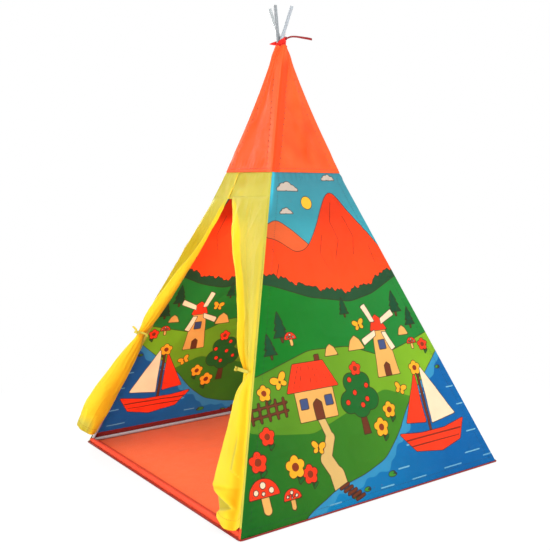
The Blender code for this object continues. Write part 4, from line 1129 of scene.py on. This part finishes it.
def make_curtain(side, seed):
    corner = f"front_{side}"
    neighbour = "front_right" if side == "left" else "front_left"
    tie = TIE_HEIGHTS[side]
    sections = LEFT_SECTIONS if side == "left" else RIGHT_SECTIONS
    lowest = sections[-1][0]
    table, heights = section_table(sections, CURTAIN_ROWS, CURTAIN_COLUMNS, CURTAIN_TOP, lowest, tie)
    lifts = course(np.array(HEM_LIFTS[side]), CURTAIN_COLUMNS // SECTION_GAPS)
    drop = np.clip((0.36 - heights) / 0.33, 0, 1)
    z = heights[:, None] + lifts[None, :] * (drop ** 1.5)[:, None]
    if side == "left":
        first, second = ACROSS_VIEW, TO_VIEWER
    else:
        first, second = Vector((-1, 0, 0)), wall_normal(corner, neighbour, 0.3)
    across = np.linspace(0, 1, CURTAIN_COLUMNS + 1)[None, :] * np.ones((CURTAIN_ROWS + 1, 1))
    gather = near_edge(heights - tie, 0.10)[:, None]
    free = np.clip(across / 0.08, 0, 1)
    away = 1 - near_edge(heights - tie, 0.018)[:, None]
    top = np.clip((CURTAIN_TOP - heights) / 0.03, 0, 1)[:, None]
    flat_x, flat_y = across * CURTAIN_WIDTH, heights[:, None] + 0 * across
    wrinkle = 0.0013 * hills(flat_x + 0.3 * flat_y, flat_y * 0.5, 0.032, seed)
    wrinkle += 0.0016 * creases(flat_x * 1.2, flat_y * 0.45 + flat_x * 0.3, 0.045, seed + 1) - 0.0006
    wrinkle += 0.0006 * hills(flat_x, flat_y, 0.014, seed + 2)
    wrinkle *= away * top * (1 - 0.6 * gather)
    wrinkle -= 0.0024 * np.clip((heights[:, None] - 0.859) / 0.007, 0, 1)
    wrinkle += (0.0010 * gather * away
                * np.sin(across * 2 * math.pi * 9 + 1.5 * hills(flat_x, flat_y, 0.06, seed + 3)))
    if side == "right":
        # Low down the cloth folds inwards and shows its shaded inside, between the lip and the crest
        toward = np.clip((across - 0.14) / 0.26, 0, 1)
        lip, crest = 0.054 + 0.026 * toward, 0.053 - 0.026 * toward
        inside = (np.clip((lip - z) / 0.006, 0, 1) * np.clip((z - crest) / 0.008, 0, 1)
                  * np.clip((0.60 - across) / 0.1, 0, 1))
        wrinkle = wrinkle - 0.010 * inside * np.clip(toward / 0.25, 0, 1)
        wrinkle += (0.004 * (near_edge(z - lip - 0.007, 0.009) + near_edge(z - crest + 0.008, 0.009))
                    * np.clip(toward / 0.2, 0, 1) * np.clip((0.55 - across) / 0.1, 0, 1))
        # A narrow pleat runs down from the tie, and the front fold turns over at a crease above the hem
        dart = (0.227 - 0.018 * np.clip((z - 0.137) / 0.088, 0, 1)
                - 0.079 * np.clip((0.137 - z) / 0.0115, 0, 1))
        pleat = (near_edge(across - dart, 0.010) * np.clip((0.235 - z) / 0.04, 0, 1)
                 * np.clip((z - 0.124) / 0.004, 0, 1))
        crease = 0.106 - 0.029 * toward
        front_fold = np.clip((0.44 - across) / 0.05, 0, 1) * np.clip((across - 0.12) / 0.04, 0, 1)
        fold_over = near_edge(z - crease, 0.0045) * front_fold
        under = np.clip((crease - z) / 0.004, 0, 1) * np.clip((z - lip) / 0.004, 0, 1) * front_fold
        wrinkle = wrinkle - 0.0020 * pleat - 0.0022 * fold_over
    else:
        # From here across, the free part of the cloth rolls over the flat part
        roll_start = np.interp(z, (0.40, 0.45, 0.51, 0.62, 0.70, 0.79, 0.866),
                               (0.20, 0.27, 0.38, 0.50, 0.64, 0.69, 0.78))
        over = np.clip((z - 0.42) / 0.05, 0, 1) * top
        wrinkle = wrinkle - 0.0022 * near_edge(across - roll_start, 0.022) * over
        wrinkle += 0.0034 * near_edge(across - roll_start - 0.075, 0.060) * over

    tangent = np.gradient(table, axis=1)
    tangent /= np.linalg.norm(tangent, axis=2)[..., None]
    shifted = table + np.stack([-tangent[..., 1], tangent[..., 0]], axis=2) * (wrinkle * free)[..., None]
    measured = np.linspace(0, 0.95, 400)
    poles = np.array([list(pole_point(corner, h)) for h in measured])
    pole = np.stack([np.interp(z, measured, poles[:, k]) for k in range(3)], axis=2)
    surface = pole + (shifted[..., :1] * np.array(first) + shifted[..., 1:] * np.array(second))

    # Painted light and shade, from -1 to 2, kept in the gathered attribute: painted shade on flat cloth and
    # in folds, painted highlights on rolls and creases, and deeper colour painted where more layers stop the
    # light
    if side == "left":
        # Left: painted shade on the flat part, painted light on the roll with deeper colour painted inside
        # it, and painted shade low down below the tie
        bundle = np.clip((across - roll_start) / 0.025 + 0.5, 0, 1)
        inner = np.clip((across - roll_start - 0.16) / 0.22, 0, 1) * np.clip((0.74 - z) / 0.14, 0, 1)
        painted_light_and_shade = (bundle * (np.clip((0.865 - z) / 0.04, 0, 1) + 0.40 * inner)
                 - (1 - bundle) * np.clip((0.84 - z) / 0.12, 0, 1))
        painted_light_and_shade = painted_light_and_shade + 0.25 * near_edge(z - tie, 0.05)
        olive = np.clip((0.90 - across) / 0.16, 0, 1) * np.clip((0.118 - z) / 0.06, 0, 1)
        below_tie = (0.9 + 0.65 * np.clip((across - 0.60) / 0.24, 0, 1)
                     - 0.5 * np.clip((across - 0.86) / 0.1, 0, 1) - 2.0 * olive)
        painted_light_and_shade = np.where(z < tie, below_tie, painted_light_and_shade)
    else:
        # Right: a painted highlight on the turned-out strip, painted shade inside the low fold, along the
        # pleat and in a valley below the tie, and deeper colour painted along the crease
        strip = 0.60 + 0.30 * np.clip((z - 0.74) / 0.12, 0, 1) ** 1.5
        painted_light_and_shade = (0.95 * np.clip((across - strip) / 0.05, 0, 1) * np.clip((0.868 - z) / 0.03, 0, 1)
                 + 0.5 * near_edge(z - tie, 0.03))
        painted_light_and_shade += (0.35 * near_edge(across - 0.05, 0.03) * np.clip((0.80 - z) / 0.2, 0, 1)
                  + 0.30 * np.clip((0.62 - z) / 0.2, 0, 1))
        painted_light_and_shade = np.where(z < tie, (0.75 + 0.25 * np.clip((across - 0.3) / 0.2, 0, 1)
                                   - 0.9 * near_edge(across - 0.52, 0.06)), painted_light_and_shade)
        painted_light_and_shade = (painted_light_and_shade - 1.3 * inside * np.clip(toward / 0.25, 0, 1)
                 + 0.9 * near_edge(across - 0.16, 0.05) * np.clip((tie - z) / 0.05, 0, 1))
        painted_light_and_shade = painted_light_and_shade - 0.9 * pleat + 0.7 * fold_over * np.clip((across - 0.2) / 0.1, 0, 1) + 0.35 * under

    def place(column, row):
        column = CURTAIN_COLUMNS - column if side == "right" else column
        own_map = np.column_stack([across[row, column] * CURTAIN_WIDTH, heights[row] * SLOPE])
        return surface[row, column], own_map, {"gathered": painted_light_and_shade[row, column]}

    piece = cloth(f"curtain_{side}_cloth", CURTAIN_COLUMNS, CURTAIN_ROWS, place, yellow)
    area = flat_area(CURTAIN_COLUMNS, CURTAIN_ROWS, place)
    declare(piece, f"{side}_curtain", "yellow_cloth", [f"curtain_{side}"], flat=(CURTAIN_WIDTH, 0.90),
            area=area, held="gathered", rests_on=[f"pole_sleeve_{corner}"])
    grid, _ = grid_points(CURTAIN_COLUMNS, CURTAIN_ROWS, place)
    stitches(f"curtain_{side}_hem_stitches", [row_line(grid, 6)], yellow_thread, f"{side}_curtain",
             spacing=0.006, width=0.0008)


for side, seed in (("left", 131), ("right", 141)):
    make_curtain(side, seed)


# Floor


def make_floor_mat():
    columns = rows = 120

    def place(column, row):
        x, y = column / columns - 0.5, row / rows - 0.5
        inner = np.clip((0.485 - np.maximum(np.abs(x), np.abs(y))) / 0.12, 0, 1)
        z = 0.0012 + inner * (0.0009 + 0.0010 * hills(x, y, 0.11, 151)
                              + 0.0012 * creases(x + 0.3 * y, y, 0.16, 152))
        round_off = np.clip(np.abs(x) - 0.492, 0, 1) + np.clip(np.abs(y) - 0.492, 0, 1)
        pull = np.where(round_off > 0.008, 1 - (round_off - 0.008) * 0.3, 1.0)
        return np.column_stack([x * pull, y * pull, z]), np.column_stack([x + 0.5, y + 0.5]), {}

    piece = cloth("floor_mat_cloth", columns, rows, place, floor_orange, thickness=0.0011)
    declare(piece, "tent", "orange_cloth", ["floor_mat"], flat=(1.0, 1.0), held="laid", rests_on=[])


make_floor_mat()


def sweep(name, points, radius, material, sides=4, cyclic=False):
    """A round thing along points, closed at its ends."""
    curve = bpy.data.curves.new(name, "CURVE")
    curve.dimensions = "3D"
    curve.bevel_depth = radius
    curve.bevel_resolution = sides
    curve.use_fill_caps = not cyclic
    spline = curve.splines.new("POLY")
    spline.points.add(len(points) - 1)
    spline.use_cyclic_u = cyclic
    for target, point in zip(spline.points, points):
        target.co = (*point, 1.0)
    guide = bpy.data.objects.new(name + "_guide", curve)
    bpy.context.scene.collection.objects.link(guide)
    mesh = bpy.data.meshes.new_from_object(guide.evaluated_get(bpy.context.evaluated_depsgraph_get()))
    bpy.data.objects.remove(guide, do_unlink=True)
    clean_mesh(mesh)
    return new_piece(name, mesh, material)


def make_piping():
    """The thin dark-red cord sewn along the floor's four edges."""
    half, corner, radius = 0.5004, 0.009, 0.0023
    points = []
    for turn, (sx, sy) in enumerate(((1, -1), (1, 1), (-1, 1), (-1, -1))):
        for step in range(7):
            angle = math.radians(-90 + 90 * turn + 15 * step)
            points.append((sx * (half - corner) + corner * math.cos(angle),
                           sy * (half - corner) + corner * math.sin(angle)))
    dense = []
    for (ax, ay), (bx, by) in zip(points, points[1:] + points[:1]):
        parts = max(1, round(math.hypot(bx - ax, by - ay) / 0.012))
        dense += [(ax + (bx - ax) * k / parts, ay + (by - ay) * k / parts) for k in range(parts)]
    course_points = [Vector((x, y, radius + 0.0002)) for x, y in dense]
    piece = sweep("floor_piping", course_points, radius, dark_red, sides=2, cyclic=True)
    declare(piece, "tent", "dark_red_cloth", [])


make_piping()


def make_front_hem():
    """The mat's front edge turned over its rod and stitched down inside."""
    columns, rows = 40, 200
    centre_y, centre_z, radius = -0.4879, 0.0087, 0.0073
    around, stitched = 0.62, 36

    def place(column, row):
        x = -0.4935 + 0.9785 * row / rows
        share = column / columns
        turn = np.radians(-20 + 275 * np.clip(share / around, 0, 1))
        y = centre_y - radius * np.sin(turn)
        z = centre_z - radius * np.cos(turn)
        run = np.clip((share - around) / 0.38, 0, 1)
        y = y + run * 0.019
        z = z + (0.0036 - z) * (1 - (1 - run) ** 2)
        ripple = (0.0005 * np.sin(x * 2 * math.pi / 0.021 + 3 * hills(x, share * 0.1, 0.06, 161))
                  * np.sin(run * math.pi))
        slack = 0.0006 * hills(x, share * 0.05, 0.04, 162) * np.clip(share * 4, 0, 1) * (1 - run)
        y, z = y - slack * np.sin(turn), z - slack * np.cos(turn) + ripple
        return np.column_stack([x, y, np.maximum(z, 0.0008)]), np.column_stack([x + 0.5, share * 0.053]), {}

    piece = cloth("floor_front_hem_cloth", columns, rows, place, shaded_hem_orange, offset=1)
    declare(piece, "tent", "orange_cloth", ["floor_front_hem"], flat=(0.979, 0.053), held="folded",
            rests_on=["base_rod_front"])
    grid, _ = grid_points(columns, rows, place)
    line = [(grid[stitched, row], (0, 0, 1)) for row in range(4, rows - 3)]
    stitches("floor_front_hem_stitches", [line], orange_thread, "tent",
             spacing=0.0055, length=0.0040, width=0.0010, lift=0.0009)


make_front_hem()


def make_edge_band(side, seed):
    columns, levels, radius = 120, 6, 0.0062
    heights = np.linspace(0.0062, 0.0285, levels + 1)
    rows = side_rows(side, heights)

    def place(column, row):
        p0, p1, n0, n1 = (rows[row, k] for k in range(4))
        start, end = p0 + n0 * radius, p1 + n1 * radius
        share = (0.0125 + (column / columns) * 0.975)[:, None]
        point = start + (end - start) * share
        level = share[:, 0] - 0.5
        wave = 0.0004 * np.sin(level * 2 * math.pi / 0.03 + seed)
        return point + n0 * wave[:, None], np.column_stack([level + 0.5, heights[row]]), {}

    # The turned-up edge wears the dark red cloth as painted shade, for the floor's orange edge in shade at
    # the foot of each wall
    piece = cloth(f"floor_edge_{side}_cloth", columns, levels, place, dark_red)
    declare(piece, "tent", "dark_red_cloth", [f"floor_edge_{side}"], flat=(0.96, 0.024), held="stretched",
            rests_on=[f"base_rod_{side}"])


for number, side in enumerate(("right", "back", "left")):
    make_edge_band(side, 171 + number)


# Sleeves

SLEEVE_COLUMNS, SLEEVE_ROWS = 16, 160


def make_sleeve(corner):
    heights = np.linspace(0.1005, 1.2895, SLEEVE_ROWS + 1)
    points = np.array([list(pole_point(corner, z)) for z in heights])
    outward = np.array([list(corner_normal(corner, z)) for z in heights])
    along = np.array([list(pole_direction(corner, z)) for z in heights])

    def place(column, row):
        angle = 2 * math.pi * column / SLEEVE_COLUMNS
        side_way = np.cross(along[row], outward[row])
        gathered = 0.00018 * np.sin(heights[row] * 2 * math.pi / 0.009 + 2 * np.cos(angle))
        radius = (0.0066 + gathered)[:, None]
        point = points[row] + radius * (outward[row] * np.cos(angle)[:, None]
                                        + side_way * np.sin(angle)[:, None])
        return point, np.column_stack([column / SLEEVE_COLUMNS * 0.042, heights[row]]), {}

    # The front sleeves show only beside the yellow seams, so they wear the yellow cloth
    finish = yellow if corner.startswith("front") else orange
    sleeve = cloth(f"pole_sleeve_{corner}_cloth", SLEEVE_COLUMNS, SLEEVE_ROWS, place, finish, offset=0,
                   thickness=0.0004)
    declare(sleeve, "tent", "orange_cloth", [f"pole_sleeve_{corner}"], flat=(0.042, 1.28), held="stretched",
            rests_on=[f"pole_{corner}_lower"])


for corner in CORNERS:
    make_sleeve(corner)


# Ribbons


def ribbon(name, points, across, material, width, thickness=0.0006):
    """A flat woven ribbon along points; across gives each point's widthways direction."""
    rows = 4
    line = np.array([list(p) for p in points])
    ways = unit(np.array([list(a) for a in across]))
    lengths = np.concatenate([[0], np.cumsum(np.linalg.norm(np.diff(line, axis=0), axis=1))])

    def place(column, row):
        beside = (row / rows - 0.5) * width
        return line[column] + ways[column] * beside[:, None], np.column_stack([lengths[column], beside]), {}

    return cloth(name, len(points) - 1, rows, place, material, thickness=thickness, offset=0)


def smooth_line(points, steps):
    """A rounded course through a few points."""
    points = [Vector(p) for p in points]
    points = [points[0] * 2 - points[1], *points, points[-1] * 2 - points[-2]]
    gaps = zip(points, points[1:], points[2:], points[3:])
    return [*(rounded_step(*four, step / steps) for four in gaps for step in range(steps)), points[-2]]


def knot(name, centre, facing, up, size, strand, material):
    """A three-looped knot of one closed strand."""
    steps = 72
    facing = Vector(facing).normalized()
    up = (Vector(up) - facing * facing.dot(Vector(up))).normalized()
    side_way = up.cross(facing)
    points = []
    for step in range(steps):
        t = 2 * math.pi * step / steps
        x, y = (math.sin(t) + 2 * math.sin(2 * t)) / 3, (math.cos(t) - 2 * math.cos(2 * t)) / 3
        z = -0.42 * math.sin(3 * t)
        points.append(Vector(centre) + (side_way * x + up * y + facing * z) * size)
    return sweep(name, points, strand, material, sides=3, cyclic=True)


def node_middle(name):
    low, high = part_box(name)
    return (low + high) / 2


def soft_copy(name, body):
    """A yellow cloth piece on a curtain, from its own solid with the edges rounded."""
    mesh = nodes[name].data.copy()
    mesh.name = name + "_cloth"
    clean_mesh(mesh)
    piece = new_piece(name + "_cloth", mesh, yellow)
    soft = piece.modifiers.new("soft", "SUBSURF")
    soft.levels = soft.render_levels = 2
    declare(piece, body, "yellow_cloth", [name])


def dress_curtain_tie(side):
    """The band round the gathers, its knot and, on the left, its two ends."""
    body = f"{side}_curtain"
    soft_copy(f"tie_band_{side}", body)
    middle = node_middle(f"tie_knot_{side}")
    out = (middle - node_middle(f"tie_band_{side}")).normalized()
    up = pole_direction(f"front_{side}", 0.3)
    tied = knot(f"tie_knot_{side}_cloth", middle, out, up, 0.0058, 0.0021, yellow)
    declare(tied, body, "yellow_cloth", [f"tie_knot_{side}"])
    if side == "left":
        soft_copy("tie_tail_left_outer", body)
        soft_copy("tie_tail_left_inner", body)


for side in ("left", "right"):
    dress_curtain_tie(side)


def make_turn(number, middle, radius, lean, wide):
    """One twisted turn of the ribbon round the crossing."""
    columns, rows = 72, 6

    def place(column, row):
        turn = 2 * math.pi * column / columns
        share = row / rows - 0.5
        r = (radius + 0.0010 * np.sin(4 * turn + number) + 0.0006 * np.sin(9 * turn + 2 * number)
             - 0.0032 * share ** 2)
        width = wide * (1 + 0.22 * np.sin(2 * turn + 1.3 * number) + 0.12 * np.sin(7 * turn))
        z = middle + lean * r * np.cos(turn - VIEW) + share * width + 0.0006 * np.sin(5 * turn)
        point = np.column_stack([r * np.cos(turn), r * np.sin(turn), z])
        return point, np.column_stack([turn * radius, share * wide]), {}

    piece = cloth(f"top_tie_turn_{number}", columns, rows, place, ribbon_red, thickness=0.0008, offset=0)
    declare(piece, "tent", "red_ribbon", ["top_tie_wrap"] if number == 0 else [])


def make_top_tie():
    """The ribbon round the crossing: three twisted turns, a knot, a folded end and a long end."""
    make_turn(0, 1.3560, 0.0160, 0.22, 0.0090)
    make_turn(1, 1.3612, 0.0172, 0.42, 0.0095)
    make_turn(2, 1.3672, 0.0158, 0.66, 0.0080)

    facing = ACROSS_VIEW + TO_VIEWER
    centre = ACROSS_VIEW * 0.0150 + TO_VIEWER * 0.0040 + Vector((0, 0, 1.3775))
    tied = knot("top_tie_knot_cloth", centre, facing, (0, 0, 1), 0.0042, 0.0024, shaded_ribbon_red)
    declare(tied, "tent", "red_ribbon", ["top_tie_knot"])
    centre = ACROSS_VIEW * 0.0160 + TO_VIEWER * 0.0050 + Vector((0, 0, 1.3500))
    small = knot("top_tie_second_knot_cloth", centre, facing, (0, 0.3, 1), 0.0026, 0.0016, shaded_ribbon_red)
    declare(small, "tent", "red_ribbon", [])

    drawn = ((0.0135, 1.3760), (0.0185, 1.3772), (0.026, 1.3805), (0.036, 1.3830), (0.052, 1.3826),
             (0.070, 1.3800), (0.088, 1.3772), (0.101, 1.3745))
    course_points = smooth_line([ACROSS_VIEW * reach + TO_VIEWER * (0.004 - 0.05 * reach) + Vector((0, 0, z))
                                 for reach, z in drawn], 7)
    ways = []
    for step in range(len(course_points)):
        share = step / (len(course_points) - 1)
        lean = math.radians(12 + 22 * min(share * 2, 1) + 8 * math.sin(share * 9))
        ways.append(TO_VIEWER * math.cos(lean) + Vector((0, 0, 1)) * math.sin(lean))
    tail = ribbon("top_tie_long_tail_cloth", course_points, ways, shaded_ribbon_red, 0.0086)
    length = sum((b - a).length for a, b in zip(course_points, course_points[1:]))
    declare(tail, "tent", "red_ribbon", ["top_tie_long_tail"], flat=(0.0100, round(length, 4)), held="hung",
            rests_on=["top_tie_wrap"])
    columns, rows = 16, 8

    def fold(column, row):
        share, side_share = column / columns, row / rows - 0.5
        middle = np.array([-0.0085, -0.0115, 1.3625]) + share[:, None] * np.array([-0.0130, -0.0185, -0.0022])
        wide = 0.0125 * (1 - share) ** 0.75 + 0.0012
        up_way = np.array([0.02, 0.0, 1.0])
        belly = TO_VIEWER.x * 0.0035 * np.cos(side_share * math.pi) * np.sin(share * math.pi + 0.5)
        point = middle + up_way * (side_share * wide)[:, None] + np.array(TO_VIEWER)[None, :] * belly[:, None]
        return point, np.column_stack([share * 0.022, side_share * 0.0125]), {}

    short = cloth("top_tie_short_tail_cloth", columns, rows, fold, ribbon_red, thickness=0.0008, offset=0)
    declare(short, "tent", "red_ribbon", ["top_tie_short_tail"])


make_top_tie()


# Camera at the photograph's place

elevation, roll = math.radians(5.5749), math.radians(-0.3672)
SENSOR_WIDTH = 36.0
PHOTO_WIDTH = 550
FOCAL_PIXELS = 764.6728
DISTANCE = 2.5587
SHIFT, AIM_HEIGHT = -0.0242, 0.6062
back = Vector((math.sin(VIEW) * math.cos(elevation), -math.cos(VIEW) * math.cos(elevation),
               math.sin(elevation)))
target = Vector((math.cos(VIEW) * SHIFT, math.sin(VIEW) * SHIFT, AIM_HEIGHT))
up_way = ACROSS_VIEW.cross(-back)
right_way = ACROSS_VIEW * math.cos(roll) + up_way * math.sin(roll)
top_way = -ACROSS_VIEW * math.sin(roll) + up_way * math.cos(roll)
camera_data = bpy.data.cameras.new("photo_camera")
camera_data.sensor_width = SENSOR_WIDTH
camera_data.lens = FOCAL_PIXELS * SENSOR_WIDTH / PHOTO_WIDTH
camera_data.clip_start = 0.05
camera = bpy.data.objects.new("photo_camera", camera_data)
bpy.context.scene.collection.objects.link(camera)
turned = Matrix((right_way, top_way, back)).transposed().to_4x4()
camera.matrix_world = Matrix.Translation(target + back * DISTANCE) @ turned
bpy.context.scene.camera = camera


# Studio


def area_light(name, place, aim, size, power):
    data = bpy.data.lights.new(name, "AREA")
    data.shape = "SQUARE"
    data.size = size
    data.energy = power
    lamp = bpy.data.objects.new(name, data)
    bpy.context.scene.collection.objects.link(lamp)
    lamp.location = place
    lamp.rotation_euler = (Vector(aim) - Vector(place)).to_track_quat("-Z", "Y").to_euler()


area_light("key", (3.0, 2.0, 2.9), (0, 0, 0.6), 1.0, 123)
area_light("fill", (1.3, -3.4, 0.9), (-0.1, 0, 0.45), 1.6, 80)
area_light("left_key", (-3.3, 0.3, 1.7), (0, 0, 0.5), 1.6, 152)
area_light("inside", (0.0, 0.0, 0.80), (0.0, 0.0, 0.0), 0.20, 2.6)
area_light("top", (-0.4, -0.6, 4.2), (0, 0, 0.5), 2.4, 50)

world = bpy.data.worlds.new("studio")
bpy.context.scene.world = world
world.use_nodes = True
tree = world.node_tree
tree.nodes.clear()
paths = tree.nodes.new("ShaderNodeLightPath")
seen = tree.nodes.new("ShaderNodeMath")
seen.operation = "MAXIMUM"
seen_too = tree.nodes.new("ShaderNodeMath")
seen_too.operation = "MAXIMUM"
tree.links.new(paths.outputs["Is Camera Ray"], seen.inputs[0])
tree.links.new(paths.outputs["Is Glossy Ray"], seen.inputs[1])
tree.links.new(seen.outputs[0], seen_too.inputs[0])
tree.links.new(paths.outputs["Is Transmission Ray"], seen_too.inputs[1])
lit = tree.nodes.new("ShaderNodeBackground")
lit.inputs["Color"].default_value = (1, 1, 1, 1)
lit.inputs["Strength"].default_value = 0.52
shown = tree.nodes.new("ShaderNodeBackground")
shown.inputs["Color"].default_value = (1, 1, 1, 1)
shown.inputs["Strength"].default_value = 1.0
either = tree.nodes.new("ShaderNodeMixShader")
tree.links.new(seen_too.outputs[0], either.inputs[0])
tree.links.new(lit.outputs[0], either.inputs[1])
tree.links.new(shown.outputs[0], either.inputs[2])
end = tree.nodes.new("ShaderNodeOutputWorld")
tree.links.new(either.outputs[0], end.inputs[0])

floor_finish = Nodes("studio_floor_finish")
paint = floor_finish.add("BsdfDiffuse")
paint.inputs["Color"].default_value = (0.88, 0.88, 0.88, 1)
glow = floor_finish.add("Emission")
glow.inputs["Color"].default_value = (1, 1, 1, 1)
ray = floor_finish.add("LightPath")
spot = floor_finish.add("VectorMath", operation="LENGTH")
floor_finish.join(floor_finish.add("TexCoord").outputs["Object"], spot.inputs[0])
clear = floor_finish.ramp(spot.outputs["Value"], 0.75, 1.5, 0.80, 1.0)
part = floor_finish.math("MULTIPLY", ray.outputs["Is Camera Ray"], clear)
mixed = floor_finish.add("MixShader")
floor_finish.join(part, mixed.inputs[0])
floor_finish.join(paint.outputs[0], mixed.inputs[1])
floor_finish.join(glow.outputs[0], mixed.inputs[2])
floor_finish.join(mixed.outputs[0], floor_finish.output.inputs[0])
ground = bmesh.new()
bmesh.ops.create_grid(ground, x_segments=2, y_segments=2, size=14.0)
bmesh.ops.translate(ground, verts=ground.verts, vec=(0, 0, -0.0006))
ground_mesh = bpy.data.meshes.new("studio_floor")
ground.to_mesh(ground_mesh)
ground.free()
studio_floor = new_piece("studio_floor", ground_mesh, floor_finish.material)

bpy.context.scene.view_settings.view_transform = "Standard"

# The right curtain hangs lower than the floor's front hem. Each of its pieces gets a mesh of its own
for piece in list(bpy.data.objects):
    if piece.get("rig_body") == "right_curtain" and piece.name not in nodes:
        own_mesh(piece)
